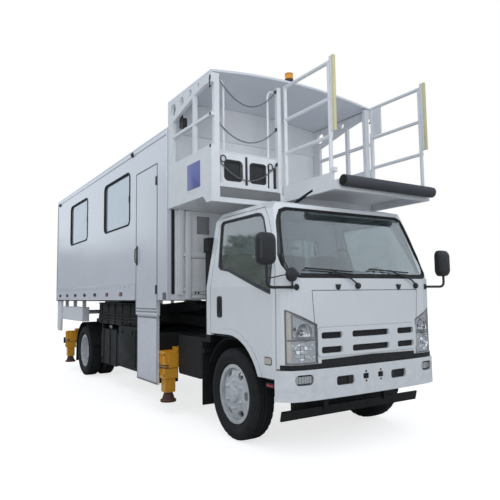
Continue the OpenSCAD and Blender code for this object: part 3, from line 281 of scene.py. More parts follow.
# Finish of each solid; a star stands for left and right
FINISH = {
    # box_end_walls take white_paint, lighter than box_panel: painted light for the front wall's shade between
    # cab and box.
    "white_paint": "front_bumper cab_front_panel cab_roof cab_rear_wall grille cab_door_* box_end_walls",
    "box_panel": "box_side_* box_roof canopy_roof side_door rear_door_*",
    "frame_white": "canopy_frame gangway_frame gangway_guards tail_lift",
    "black_steel": "chassis_frame subframe axles leaf_springs side_steps chassis_boxes mudguards",
    "grey_steel": "scissor_arms_outer scissor_arms_inner lift_barrels",
    "iron": "drivetrain knuckle_*",
    "silver_rim": "rim_front_* rims_rear_*",
    "amber_paint": "leg_housings leg_front_* leg_rear_*",
    "black_plastic": "mirrors cab_floor",
    "grey_plastic": "dashboard",
    "seat_cloth": "cab_seats",
    "tyre": "tyre_front_* tyres_rear_*",
    "rubber": "gangway_roll",
    "deck": "box_floor",
    "chain_steel": "lift_rods chains",
    "glass": "cab_glass",
    "door_glass": "cab_door_glass_*",
    "window_painted_sky": "box_windows",
    "reflector": "headlamps",
    "amber_lens": "beacon",
}
for finish, names in FINISH.items():
    for name in names.split():
        for _, side in SIDES if "*" in name else SIDES[:1]:
            mesh = nodes[name.replace("*", side)].data
            mesh.materials.clear()
            mesh.materials.append(MAT[finish])


# Building blocks

def add_box(bm, lo, hi, bevel=0.0, segments=2):
    """Box between two corners with rounded edges."""
    lo, hi = Vector(lo), Vector(hi)
    made = bmesh.ops.create_cube(bm, size=1.0)["verts"]
    for v in made:
        v.co = Vector([lo[i] + (v.co[i] + 0.5) * (hi[i] - lo[i]) for i in range(3)])
    if bevel:
        edges = list(dict.fromkeys(e for v in made for e in v.link_edges))
        bmesh.ops.bevel(bm, geom=edges, offset=bevel, segments=segments, affect="EDGES", profile=0.5)


def ring_of(centre, side, up, r, n, squash=1.0):
    return [centre + r * (math.cos(2 * math.pi * k / n) * side + squash * math.sin(2 * math.pi * k / n) * up)
            for k in range(n)]


def add_loft(bm, rings, caps=True, closed=False):
    """Skin over rings of equal point count."""
    rows = [[bm.verts.new(p) for p in ring] for ring in rings]
    n = len(rows[0])
    pairs = list(zip(rows, rows[1:])) + ([(rows[-1], rows[0])] if closed else [])
    for a, b in pairs:
        for k in range(n):
            bm.faces.new((a[k], a[(k + 1) % n], b[(k + 1) % n], b[k]))
    if caps and not closed:
        bm.faces.new(rows[0][::-1])
        bm.faces.new(rows[-1])


def add_tube(bm, path, r, n=10, closed=False):
    """Round tube along a path, mitred at its bends."""
    pts = [Vector(p) for p in path]
    count = len(pts)
    rings = []
    up = None
    for i, p in enumerate(pts):
        before = pts[i - 1] if i or closed else p
        after = pts[(i + 1) % count] if i < count - 1 or closed else p
        t = ((after - p).normalized() + (p - before).normalized()).normalized()
        if up is None:
            up = t.orthogonal().normalized()
        up = (up - t * up.dot(t)).normalized()
        rings.append(ring_of(p, t.cross(up), up, r, n))
    add_loft(bm, rings, closed=closed)


def add_lathe(bm, profile, centre, axis, n=32, closed=False):
    """Turned form: profile rows are radius and distance along the axis."""
    axis = Vector(axis).normalized()
    side = axis.orthogonal().normalized()
    up = axis.cross(side)
    rings = [ring_of(Vector(centre) + axis * h, side, up, max(r, 1e-4), n) for r, h in profile]
    add_loft(bm, rings, closed=closed)


def add_prism(bm, outline, push, bevel=0.0):
    """Flat outline pushed along a vector."""
    face = bm.faces.new([bm.verts.new(p) for p in outline])
    made = bmesh.ops.extrude_face_region(bm, geom=[face])["geom"]
    moved = [v for v in made if isinstance(v, bmesh.types.BMVert)]
    bmesh.ops.translate(bm, vec=Vector(push), verts=moved)
    if bevel:
        rim = dict.fromkeys(e for v in moved for e in v.link_edges if e.other_vert(v) in moved)
        bmesh.ops.bevel(bm, geom=list(rim), offset=bevel, segments=2, affect="EDGES", profile=0.5)


def add_bolt(bm, at, axis, r=0.012, h=0.01):
    """Washer and hexagon head."""
    add_lathe(bm, [(r * 1.5, -0.002), (r * 1.5, 0.002)], at, axis, 14)
    add_lathe(bm, [(r, 0.0), (r, h * 0.85), (r * 0.8, h)], at, axis, 6)


def add_ring(bm, outer, inner, push):
    """Flat ring between two outlines of equal count, pushed along a vector."""
    push = Vector(push)
    loops = [outer, [Vector(p) + push for p in outer], [Vector(p) + push for p in inner], inner]
    add_loft(bm, [[Vector(p) for p in loop] for loop in loops], closed=True)


def rounded(a0, b0, a1, b1, r, n=6):
    """Rounded rectangle as points of two coordinates."""
    pts = []
    corners = ((a1 - r, b1 - r), (a0 + r, b1 - r), (a0 + r, b0 + r), (a1 - r, b0 + r))
    for quarter, (ca, cb) in enumerate(corners):
        for k in range(n + 1):
            t = math.radians(90 * quarter + 90 * k / n)
            pts.append((ca + r * math.cos(t), cb + r * math.sin(t)))
    return pts


def add_plate(bm, sign, y, rect, r, thick, bevel=0.0):
    """Rounded plate on one side of the vehicle; rect holds x0, z0, x1 and z1."""
    add_prism(bm, [(x, sign * y, z) for x, z in rounded(*rect, r)], (0, sign * thick, 0), bevel)


def side_box(bm, sign, x, y, z, bevel=0.003):
    """Box on one side of the vehicle between pairs of x, y and z."""
    lo, hi = sorted((sign * y[0], sign * y[1]))
    add_box(bm, (x[0], lo, z[0]), (x[1], hi, z[1]), bevel)


def add_block(bm, at, half, bevel=0.002):
    """Box round a middle point."""
    add_box(bm, [a - h for a, h in zip(at, half)], [a + h for a, h in zip(at, half)], bevel)


def shapes(count):
    """Empty meshes to add to."""
    return [bmesh.new() for _ in range(count)]


def as_object(name, bm, mat):
    """Turns the mesh into an object of one material."""
    mesh = bpy.data.meshes.new(name)
    bm.to_mesh(mesh)
    bm.free()
    mesh.materials.append(MAT[mat])
    obj = bpy.data.objects.new(name, mesh)
    scene.collection.objects.link(obj)
    return obj


def piece(name, bm, mat, body="chassis", smooth=40.0, replaces=()):
    """Turns the mesh into an object that rides on a body; edges sharper than smooth stay sharp."""
    bmesh.ops.recalc_face_normals(bm, faces=bm.faces[:])
    obj = as_object(name, bm, mat)
    obj.data.shade_smooth()
    obj.data.set_sharp_from_angle(angle=math.radians(smooth))
    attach(obj, body)
    for node in replaces:
        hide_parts(node)
    return obj


# Barrier chains, one free cord each

CHAIN_X, CHAIN_Y0, CHAIN_Y1, LINK_PITCH = 2.953, -1.05, -0.31, 0.0195
CHAINS = (("chain_upper", 3.705, 3.7, 3.466), ("chain_middle", 3.225, 3.265, 3.061),
          ("chain_lower", 2.825, 2.865, 2.643))


def swag_points(z0, z1, low, count):
    pts = []
    for i in range(count + 1):
        u = i / count
        z = z0 + (z1 - z0) * u - 4 * u * (1 - u) * ((z0 + z1) / 2 - low)
        pts.append(Vector((CHAIN_X, CHAIN_Y0 + (CHAIN_Y1 - CHAIN_Y0) * u, z)))
    return pts


def add_link(bm, centre, along, flat):
    """One oval chain link."""
    long, wide = 0.0125, 0.0068
    add_tube(bm, ring_of(centre, along, along.cross(flat), long, 12, wide / long), 0.0032, 6, closed=True)


def make_chain(name, z0, z1, low):
    fine = swag_points(z0, z1, low, 14)
    length = sum((b - a).length for a, b in zip(fine, fine[1:]))
    count = round(length / LINK_PITCH)
    bm = bmesh.new()
    walked, k = 0.0, 0
    for a, b in zip(fine, fine[1:]):
        run = (b - a).length
        along = (b - a) / run
        while (k + 0.5) * length / count <= walked + run:
            at = a + along * ((k + 0.5) * length / count - walked)
            flat = Vector((1, 0, 0)) if k % 2 else along.cross(Vector((1, 0, 0)))
            add_link(bm, at, along, flat)
            k += 1
        walked += run
    obj = piece(name, bm, "chain_dark", "box", 60, replaces=["chains"])


for chain in CHAINS:
    make_chain(*chain)


# Cab surfaces as functions of place; t is the depth below the outer skin

SIDE_IN, SIDE_RISE, SIDE_Z = 0.13, 0.733, 1.507
SCREEN_BACK, SCREEN_RISE = 0.313, 0.668


def along(table, v):
    """Straight-line reading of a table of two columns."""
    if v <= table[0][0]:
        return table[0][1]
    for (a, p), (b, q) in zip(table, table[1:]):
        if v <= b:
            return p + (q - p) * (v - a) / (b - a)
    return table[-1][1]


def plan_rows(t):
    """Rows of the cab's plan from its side to its nose: x ahead of the axle, y."""
    return [(0.76, CAB_HALF - t), (0.845 - 0.6 * t, 0.965 - 0.8 * t), (0.905 - t, 0.902 - 0.7 * t),
            (0.94 - t, 0.797 - 0.5 * t), (0.96 - t, 0.48), (CAB_FRONT - t, 0.0)]


def front_x(y, z, t=0.0):
    """Front skin of the cab: upright below the belt, leaning back above it."""
    x = along([(b, a) for a, b in reversed(plan_rows(t))], abs(y))
    if z <= BELT:
        return XF + x
    leaning = CAB_F + (x - CAB_FRONT) / math.cos(LEAN) - (z - BELT) * math.tan(LEAN)
    outline = CAB_F - t - (z - BELT) * SCREEN_BACK / SCREEN_RISE
    return min(leaning, outline)


def on_front(line, t):
    """Points of y and z laid on the front skin."""
    return [Vector((front_x(y, z, t), y, z)) for y, z in line]


def side_lean(z):
    """How far the cab's side leans in at a height."""
    return SIDE_IN * max(0.0, z - SIDE_Z) / SIDE_RISE


def side_y(x, z, t=0.0):
    """Side skin of the cab at a place along it."""
    ahead = x - XF
    if z > BELT:
        ahead = CAB_FRONT + (x - CAB_F + (z - BELT) * math.tan(LEAN)) * math.cos(LEAN)
    return min(CAB_HALF - t - side_lean(z), along(plan_rows(t), ahead))


def resample(points, step):
    """Points spaced evenly round a closed line of two coordinates, corners kept."""
    out = []
    ring = list(points) + [points[0]]
    for (a, b), (c, d) in zip(ring, ring[1:]):
        n = max(1, round(math.hypot(c - a, d - b) / step))
        out += [(a + (c - a) * k / n, b + (d - b) * k / n) for k in range(n)]
    return out


def add_band(bm, skin, outer, inner, t0, t1):
    """Flat band between two lines on a skin, from one depth to another."""
    rows = ((outer, t0), (outer, t1), (inner, t1), (inner, t0))
    add_loft(bm, [skin(line, t) for line, t in rows], closed=True)


def add_patch(bm, y0, y1, z0, z1, t0, t1, n=16):
    """Slab that follows the cab's front between two depths; z1 may change with y."""
    rings = []
    for k in range(n + 1):
        y = y0 + (y1 - y0) * k / n
        top = z1(y) if callable(z1) else z1
        corners = ((t0, z0), (t0, top), (t1, top), (t1, z0))
        rings.append([Vector((front_x(y, min(z, BELT), t), y, z)) for t, z in corners])
    add_loft(bm, rings)


# Wheels

TYRE_HALF = [(0.448, 0.0), (0.448, 0.016), (0.439, 0.018), (0.439, 0.026), (0.448, 0.028), (0.4475, 0.048),
             (0.4385, 0.05), (0.4385, 0.058), (0.447, 0.06), (0.446, 0.078), (0.44, 0.091), (0.425, 0.101),
             (0.405, 0.1125), (0.39, 0.115), (0.388, 0.1165), (0.37, 0.1172), (0.355, 0.117),
             (0.353, 0.1155), (0.33, 0.113), (0.312, 0.106), (0.308, 0.1065), (0.299, 0.0985),
             (0.292, 0.08), (0.2705, 0.078)]


def add_tyre(bm, centre):
    """Tyre with ribs and cut shoulders; the outline's rows are radius and distance from the middle plane."""
    n = 144
    rings = []
    for r, h in [(r, -h) for r, h in reversed(TYRE_HALF)] + TYRE_HALF[1:]:
        ring = []
        shoulder = abs(h) > 0.055 and r > 0.42
        for k in range(n):
            depth = 0.007 if shoulder and k % 4 == 0 else 0.0
            a = 2 * math.pi * (k + (0.6 if h > 0 else 0.0)) / n
            ring.append(Vector(centre) + Vector(((r - depth) * math.cos(a), h, (r - depth) * math.sin(a))))
        rings.append(ring)
    add_loft(bm, rings, closed=True)


def add_wheel_nuts(bm, x, y, sign, reach):
    """Six nuts on their studs round the hub, and the hub cap with its bolts."""
    out = Vector((0, sign, 0))
    stud_r, bolt_r = 0.135, 0.052
    for k in range(6):
        a = math.radians(30 + 60 * k)
        at = Vector((x + stud_r * math.cos(a), y, AXLE_Z + stud_r * math.sin(a)))
        add_lathe(bm, [(0.024, 0.0), (0.024, 0.006), (0.019, 0.008)], at, out, 16)
        add_lathe(bm, [(0.0175, 0.006), (0.0175, 0.022), (0.013, 0.026)], at, out, 6)
        add_lathe(bm, [(0.0095, 0.024), (0.0095, 0.032), (0.007, 0.035)], at, out, 10)
    cap = Vector((x, y + sign * reach, AXLE_Z))
    dome = [(0.079, -0.016), (0.082, -0.004), (0.07, 0.004), (0.062, 0.002), (0.03, 0.01), (0.006, 0.012)]
    add_lathe(bm, dome, cap, out, 32)
    for k in range(6):
        a = math.radians(60 * k)
        off = Vector((bolt_r * math.cos(a), sign * 0.005, bolt_r * math.sin(a)))
        add_bolt(bm, cap + off, out, 0.006, 0.006)


for sign, side in SIDES:
    bm = bmesh.new()
    add_tyre(bm, (XF, sign * 0.85, AXLE_Z))
    piece("tyre_tread_front_" + side, bm, "tyre", "wheel_front_" + side, 35, ["tyre_front_" + side])
    bm = bmesh.new()
    for y in (0.9, 0.63):
        add_tyre(bm, (XR, sign * y, AXLE_Z))
    piece("tyre_treads_rear_" + side, bm, "tyre", "wheels_rear_" + side, 35, ["tyres_rear_" + side])
for sign, side in SIDES:
    for place, x, y, reach in (("wheel_front_", XF, 0.935, 0.027), ("wheels_rear_", XR, 0.781, 0.115)):
        bm = bmesh.new()
        add_wheel_nuts(bm, x, sign * y, sign, reach)
        piece("wheel_nuts_" + place.split("_")[1] + "_" + side, bm, "silver_rim", place + side, 30)


# Cab glazing

SCREEN_HALF = [(0.8, 1.575), (0.865, 1.592), (0.9, 1.625), (0.915, 1.68), (0.907, 1.774), (0.886, 1.9),
               (0.866, 2.01), (0.838, 2.16), (0.815, 2.215), (0.75, 2.24)]
SCREEN = SCREEN_HALF + [(-y, z) for y, z in reversed(SCREEN_HALF)]
SCREEN_MID = 1.916
WING_STEPS = 24


def make_windscreen_trim():
    outer = resample(SCREEN, 0.03)
    inner = [(y * 0.974, SCREEN_MID + (z - SCREEN_MID) * 0.91 + 0.006) for y, z in outer]
    bm = bmesh.new()
    add_band(bm, on_front, outer, inner, 0.0095, 0.0065)
    piece("windscreen_border", bm, "dark_gap")
    bm = bmesh.new()
    add_tube(bm, on_front(outer, 0.003), 0.009, 8, closed=True)
    piece("windscreen_seal", bm, "dark_gap", "chassis", 50)
    # Dark wings that carry the glass round to the sides
    bm = bmesh.new()
    edges = [(z, y) for y, z in SCREEN_HALF[2:9]]
    for sign, _ in SIDES:
        rings = []
        for k in range(WING_STEPS + 1):
            z = 1.64 + 0.57 * k / WING_STEPS
            edge = along(edges, z)
            near = edge + 0.004
            ease = min(1.0, 4 * k / WING_STEPS, 5 * (WING_STEPS - k) / WING_STEPS)
            far = near + max(0.0, min(edge + 0.055, 0.984 - side_lean(z)) - near) * ease
            section = [(-0.0015, y) for y in (edge, (edge + far) / 2, far)]
            section = [(0.004, edge)] + section + [(0.004, far)]
            rings.append([Vector((front_x(y, z, t), sign * y, z)) for t, y in section])
        add_loft(bm, rings)
    piece("windscreen_wings", bm, "dark_pane")


def add_wiper(bm, pivot_y, tip_y, end_y):
    """Knob, bent arm and blade; the blade lies on the glass from tip_y to end_y."""
    knob_z, bend_z, arm_z, blade_z = 1.497, 1.56, 1.65, 1.66
    out = Vector((1, 0, 0.15)).normalized()
    knob = Vector((front_x(pivot_y, knob_z), pivot_y, knob_z))
    add_lathe(bm, [(0.03, -0.01), (0.03, 0.012), (0.024, 0.024), (0.01, 0.028)], knob, out, 18)
    mid_y = (tip_y + end_y) / 2
    start = knob + out * 0.018
    bend = Vector((front_x(pivot_y - 0.1, bend_z, -0.03), pivot_y - 0.1, bend_z))
    end = Vector((front_x(mid_y, arm_z, -0.016), mid_y, arm_z))
    add_tube(bm, [start, (start + bend) / 2 + Vector((0.004, 0, 0)), bend, (bend + end) / 2, end], 0.0075, 8)
    for depth, r, z_up in ((-0.014, 0.005, 0.0), (-0.006, 0.004, -0.004)):
        line = [(tip_y + (end_y - tip_y) * k / 12, blade_z - 0.03 * (k / 12) + z_up) for k in range(13)]
        add_tube(bm, on_front(line, depth), r, 6)


def make_wipers():
    bm = bmesh.new()
    add_wiper(bm, -0.153, -0.74, -0.19)
    add_wiper(bm, 0.668, 0.03, 0.58)
    for y in (-0.395, 0.401):
        x = front_x(y, 1.489) - 0.004
        nozzle = [(x, y + a, z) for a, z in ((-0.03, 1.508), (0.03, 1.508), (0.012, 1.462), (-0.012, 1.462))]
        add_prism(bm, nozzle, (0.022, 0, 0.004), 0.004)
    piece("wipers", bm, "black_plastic")


WINDOW = [(3.768, 1.437), (3.753, 1.682), (3.52, 2.15), (3.47, 2.195), (3.4, 2.212), (2.73, 2.212),
          (2.698, 2.18), (2.775, 1.727), (2.815, 1.699), (2.989, 1.675)]


def make_door_trim(sign, side):
    """Window seal, handle, keyhole and side lamp of one cab door."""
    body = "cab_door_" + side

    def skin(line, t):
        return [Vector((x, sign * side_y(x, z, t), z)) for x, z in line]

    line = resample(WINDOW, 0.04)
    mid = [sum(values) / len(line) for values in zip(*line)]
    inner = [(x + (mid[0] - x) * 0.045, z + (mid[1] - z) * 0.06) for x, z in line]
    bm = bmesh.new()
    add_tube(bm, skin(line, 0.002), 0.011, 8, closed=True)
    add_band(bm, skin, line, inner, 0.0095, 0.007)
    piece("door_window_seal_" + side, bm, "rubber", body, 50)
    bm = bmesh.new()
    add_plate(bm, sign, 0.983, (2.806, 1.206, 2.859, 1.409), 0.018, 0.012)
    add_plate(bm, sign, 0.996, (2.796, 1.198, 2.902, 1.418), 0.03, 0.006, 0.003)
    add_plate(bm, sign, 1.0, (2.812, 1.24, 2.85, 1.4), 0.016, 0.012, 0.005)
    keyhole = [(0.013, -0.004), (0.013, 0.008), (0.009, 0.01)]
    add_lathe(bm, keyhole, (2.876, sign * 0.998, 1.238), (0, sign, 0), 16)
    piece("door_handle_" + side, bm, "black_plastic", body)
    bm = bmesh.new()
    add_plate(bm, sign, 0.994, (3.668, 0.812, 3.772, 0.868), 0.016, 0.013, 0.005)
    piece("side_lamp_" + side, bm, "lamp_grey", body)
    bm = bmesh.new()
    rim = rounded(3.664, 0.808, 3.776, 0.872, 0.018)
    add_tube(bm, [(x, sign * 0.997, z) for x, z in rim], 0.004, 6, closed=True)
    piece("side_lamp_rim_" + side, bm, "rubber", body)


make_windscreen_trim()
make_wipers()
for sign, side in SIDES:
    make_door_trim(sign, side)


# Cab front: lamps, grille backing, band and bumper fittings

def lamp_top(y):
    return min(1.286, 1.157 + (abs(y) - 0.64) * 0.13 / 0.29)


def make_headlamp(sign, side):
    inner, outer = sign * 0.644, sign * 0.932
    bm = bmesh.new()
    add_patch(bm, inner, outer, 0.824, lamp_top, 0.003, 0.006, 24)
    piece("headlamp_lens_" + side, bm, "lamp_glass", "chassis", 60)
    corners = [(inner, 0.823), (outer, 0.823), (outer, lamp_top(outer)), (inner, lamp_top(inner))]
    edge = resample(corners, 0.03)
    bar = [(sign * (0.648 + 0.27 * k / 12), 1.025) for k in range(13)]
    bm = bmesh.new()
    add_tube(bm, on_front(edge, 0.004), 0.006, 6, closed=True)
    add_tube(bm, on_front(bar, 0.009), 0.008, 6)
    piece("headlamp_bezel_" + side, bm, "grey_plastic", "chassis", 50)
    bm = bmesh.new()
    add_patch(bm, sign * 0.893, sign * 0.928, 0.84, 1.27, 0.0085, 0.0125, 8)
    piece("indicator_" + side, bm, "lamp_grey", "chassis", 60)
    bm = bmesh.new()
    for y, z, r in ((0.775, 1.085, 0.092), (0.8, 0.925, 0.082)):
        centre = Vector((CAB_F - 0.01, sign * y, z))
        back = centre - Vector((0.066, 0, 0))
        add_lathe(bm, [(0.014, -0.01), (0.014, 0.03), (0.01, 0.04), (0.003, 0.044)], back, (1, 0, 0), 16)
        ring = [(r * 0.8, -0.052), (r * 0.86, -0.046), (r * 0.83, -0.043), (r * 0.77, -0.049)]
        add_lathe(bm, ring, centre, (1, 0, 0), 36, closed=True)
    piece("headlamp_bulbs_" + side, bm, "chrome")
    # Facets, each tilted its own way
    bm = bmesh.new()
    for i in range(6):
        for j in range(5):
            y, z = 0.664 + 0.0375 * i, 0.838 + 0.0345 * j
            tilt = [0.0075 * math.sin(5.1 * i + 3.7 * j + k) for k in (0.0, 1.9)]
            quad = []
            for a, b in ((0, 0), (0.0325, 0), (0.0325, 0.029), (0, 0.029)):
                lean = tilt[0] * (a / 0.036 - 0.5) + tilt[1] * (b / 0.033 - 0.5)
                quad.append((front_x(y + a, z, 0.0145) + lean, sign * (y + a), z + b))
            add_prism(bm, quad, (-0.003, 0, 0))
    piece("headlamp_facets_" + side, bm, "chrome", "chassis", 20)
    bm = bmesh.new()
    add_patch(bm, sign * 0.656, sign * 0.888, 0.83, 1.012, 0.0185, 0.0225, 12)
    piece("headlamp_back_" + side, bm, "rubber_grey")
    bm = bmesh.new()
    for y, z, r in ((0.85, 1.12, 0.021), (0.838, 1.07, 0.014)):
        at = (front_x(y, z, 0.02), sign * y, z)
        add_lathe(bm, [(r, -0.004), (r, 0.004), (r * 0.75, r * 0.55), (r * 0.2, r * 0.8)], at, (1, 0, 0), 20)
    piece("headlamp_amber_" + side, bm, "rust")
    bm = bmesh.new()
    line = resample([(0.66, 1.046), (0.878, 1.046), (0.878, 1.245), (0.66, 1.15)], 0.05)
    add_tube(bm, on_front([(sign * y, z) for y, z in line], 0.016), 0.009, 8, closed=True)
    piece("headlamp_frame_" + side, bm, "grey_plastic")


BUMPER_HOLES = ((0.232, 0.458, 0.602, 0.698, 0.01, 8), (0.054, 0.136, 0.634, 0.696, 0.01, 4),
                (0.69, 0.89, 0.632, 0.738, 0.012, 8))


def make_front_details():
    for sign, side in SIDES:
        make_headlamp(sign, side)
    bm = bmesh.new()
    add_patch(bm, -0.622, 0.622, 0.878, 1.122, 0.022, 0.03, 60)
    add_patch(bm, -0.97, 0.97, 0.774, 0.815, -0.004, 0.012, 160)
    add_patch(bm, -0.6, 0.6, 0.785, lambda y: 0.858 - 0.012 * abs(y) / 0.6, -0.005, 0.01, 60)
    for sign, _ in SIDES:
        for y0, y1, z0, z1, depth, n in BUMPER_HOLES:
            add_patch(bm, sign * y0, sign * y1, z0, z1, depth, 0.022, n)
        for z in (0.622, 0.708):
            at = (front_x(0.095, z, -0.016), sign * 0.095, z)
            add_lathe(bm, [(0.01, -0.004), (0.01, 0.002), (0.006, 0.003)], at, (1, 0, 0), 14)
    piece("front_openings", bm, "dark_gap")
    bm = bmesh.new()
    for sign, _ in SIDES:
        for k in range(5):
            z = 0.643 + 0.0095 * k
            add_patch(bm, sign * 0.064, sign * 0.126, z, z + 0.005, -0.008, 0.01, 3)
        add_patch(bm, sign * 0.245, sign * 0.3, 0.612, 0.688, 0.0, 0.01, 4)
    # Cross-member under the bumper with its pads
    add_box(bm, (3.61, -0.68, 0.345), (3.65, 0.68, 0.52), 0.01)
    for y in (-0.45, 0.0, 0.45):
        add_box(bm, (3.648, y - 0.06, 0.4), (3.662, y + 0.06, 0.5), 0.004)
    piece("bumper_slats", bm, "black_plastic")
    lens, mirror = shapes(2)
    for sign, _ in SIDES:
        add_patch(lens, sign * 0.712, sign * 0.868, 0.652, 0.718, -0.008, 0.004, 8)
        for k in range(6):
            y = sign * (0.722 + 0.026 * k)
            add_patch(mirror, y - 0.011, y + 0.011, 0.656, 0.714, 0.005, 0.011, 2)
    piece("fog_lamp_lenses", lens, "lamp_glass", "chassis", 60)
    piece("fog_lamp_reflectors", mirror, "reflector", "chassis", 30)


make_front_details()


# Mirrors: domed heads on bent tubes

MIRROR_Y, TUBE_X, TUBE_Z = 1.156, XF + 0.925, 1.488
ROUND_Y, ROUND_Z = -0.91, 1.597


def make_mirror(sign, side):
    """Mirror of one side; the right one also carries a small round mirror."""
    z = 1.74 if sign > 0 else 1.817
    bm = bmesh.new()
    rings = []
    for x, k in ((3.914, 0.93), (3.922, 1.0), (3.95, 1.0), (3.972, 0.96), (3.986, 0.86), (3.993, 0.62)):
        pts = rounded(-0.092 * k, -0.14 * k, 0.092 * k, 0.14 * k, 0.06 * k, 8)
        rings.append([Vector((x, sign * (MIRROR_Y + a), z + b)) for a, b in pts])
    add_loft(bm, rings)
    bend = [(MIRROR_Y - 0.055, 0.0), (MIRROR_Y - 0.03, 0.006), (MIRROR_Y - 0.008, 0.022), (MIRROR_Y, 0.05)]
    path = [(TUBE_X, sign * 0.83, TUBE_Z)] + [(TUBE_X, sign * a, TUBE_Z + b) for a, b in bend]
    add_tube(bm, path + [(TUBE_X, sign * MIRROR_Y, z - 0.125)], 0.013, 12)
    foot = (front_x(0.842, TUBE_Z), sign * 0.842, TUBE_Z)
    add_lathe(bm, [(0.028, -0.002), (0.028, 0.008), (0.017, 0.016)], foot, (0.35, sign, 0), 20)
    if sign < 0:
        x = TUBE_X + 0.03
        stalk = ((TUBE_X, TUBE_Z), (x, TUBE_Z + 0.012), (x, 1.545))
        add_tube(bm, [(a, ROUND_Y, b) for a, b in stalk], 0.009, 10)
        dome = [(0.05, -0.018), (0.061, -0.016), (0.062, 0.0), (0.054, 0.01), (0.034, 0.017), (0.008, 0.02)]
        add_lathe(bm, dome, (x, ROUND_Y, ROUND_Z), (1, 0, 0), 32)
        add_tube(bm, [(TUBE_X, -MIRROR_Y, 1.56), (x, -0.955, 1.6)], 0.005, 8)
    piece("mirror_" + side, bm, "black_plastic", "chassis", 45, ["mirrors"])
    bm = bmesh.new()
    pane = [(3.9145, sign * (MIRROR_Y + a), z + b) for a, b in rounded(-0.08, -0.127, 0.08, 0.127, 0.05, 8)]
    add_prism(bm, pane, (-0.0025, 0, 0))
    if sign < 0:
        bulge = [(0.047, 0.0), (0.047, 0.002), (0.02, 0.004), (0.004, 0.0045)]
        add_lathe(bm, bulge, (TUBE_X + 0.0122, ROUND_Y, ROUND_Z), (-1, 0, 0), 32)
    piece("mirror_glass_" + side, bm, "mirror")


for sign, side in SIDES:
    make_mirror(sign, side)


# Cab seats: crowned cushions

SOFTNESS, SEAM_DEPTH, SEAM_WIDTH, SEAMS = 0.16, 0.012, 0.045, (-0.33, 0.33)


def add_cushion(bm, lo, hi, crown, axis):
    """Soft block: edges and corners drawn in, both faces along one axis crowned and creased by two seams."""
    lo, hi = Vector(lo), Vector(hi)
    mid, half = (lo + hi) / 2, (hi - lo) / 2
    before = set(bm.verts)
    cube = bmesh.ops.create_cube(bm, size=2.0)["verts"]
    edges = list(dict.fromkeys(e for v in cube for e in v.link_edges))
    bmesh.ops.subdivide_edges(bm, edges=edges, cuts=11, use_grid_fill=True)
    first, second = [i for i in range(3) if i != axis]
    for v in [v for v in bm.verts if v not in before]:
        p = v.co.copy()
        ball = p.normalized() * max(abs(c) for c in p)
        soft = p.lerp(ball, SOFTNESS)
        swell = (1 - p[first] ** 2) * (1 - p[second] ** 2)
        seam = SEAM_DEPTH * sum(math.exp(-((p[second] - s) / SEAM_WIDTH) ** 2) for s in SEAMS)
        v.co = Vector([mid[i] + soft[i] * half[i] for i in range(3)])
        if abs(p[axis]) > 0.98:
            v.co[axis] += math.copysign(1, p[axis]) * (crown * swell - seam)


def make_seats():
    for name, y0, y1 in (("right", -0.85, -0.35), ("middle", -0.25, 0.25), ("left", 0.35, 0.85)):
        bm = bmesh.new()
        add_cushion(bm, (2.704, y0 + 0.005, 1.205), (3.172, y1 - 0.005, 1.332), 0.012, 2)
        add_cushion(bm, (2.64, y0 + 0.008, 1.336), (2.742, y1 - 0.008, 1.885), 0.01, 0)
        obj = piece("seat_" + name, bm, "seat_cloth", "chassis", 60, replaces=["cab_seats"])
    bm = bmesh.new()
    for y0, y1 in ((-0.85, -0.35), (0.35, 0.85)):
        add_box(bm, (2.756, y0 + 0.065, 1.036), (3.125, y1 - 0.065, 1.204), 0.012)
    piece("seat_bases", bm, "black_plastic", "chassis", 30, replaces=["cab_seats"])


make_seats()


# Box: windows, rails, lamps, door fittings

WINDOW_FRONTS, WINDOW_LONG = (0.545, -1.64), 1.19
SEAL = ((0.01, 1.146), (0.01, 1.156), (0.006, 1.159), (-0.01, 1.159), (-0.014, 1.156), (-0.014, 1.133))


def make_box_windows():
    for sign, side in SIDES:
        seal, bars = shapes(2)
        for x1 in WINDOW_FRONTS:
            x0 = x1 - WINDOW_LONG
            rows = []
            for grow, y in SEAL:
                line = rounded(x0 - grow, 2.435 - grow, x1 + grow, 3.19 + grow, 0.09 + grow, 8)
                rows.append([Vector((x, sign * y, z)) for x, z in line])
            add_loft(seal, rows, closed=True)
            side_box(bars, sign, (x1 - 0.062, x1 - 0.042), (1.131, BOX_Y), (2.76, 2.86), 0.004)
        piece("window_seals_" + side, seal, "dark_gap", "box")
        piece("window_bars_" + side, bars, "black_plastic", "box")


LAMP_XS = (-3.608, -3.008, -2.389, -1.75, -1.114)
RED_XS = (-0.465, 0.196)


def make_box_lamps():
    dark, red, rims = shapes(3)
    for sign, _ in SIDES:
        for xs, bm in ((LAMP_XS, dark), (RED_XS, red)):
            for x in xs:
                add_plate(rims, sign, 1.155, (x - 0.072, 1.434, x + 0.072, 1.49), 0.027, 0.007, 0.003)
                add_plate(bm, sign, 1.161, (x - 0.06, 1.443, x + 0.06, 1.481), 0.0185, 0.006, 0.003)
        for x, z in ((0.665, 3.405), (-3.763, 3.372)):
            at, out = (x, sign * 1.149, z), (0, sign, 0)
            add_lathe(rims, [(0.036, 0.0), (0.036, 0.012), (0.03, 0.016)], at, out, 20)
            add_lathe(dark, [(0.029, 0.01), (0.029, 0.022), (0.018, 0.03), (0.004, 0.032)], at, out, 20)
    piece("marker_lamps_dark", dark, "black_plastic", "box")
    piece("marker_lamps_red", red, "red_lens", "box")
    piece("marker_lamp_rims", rims, "rubber", "box")


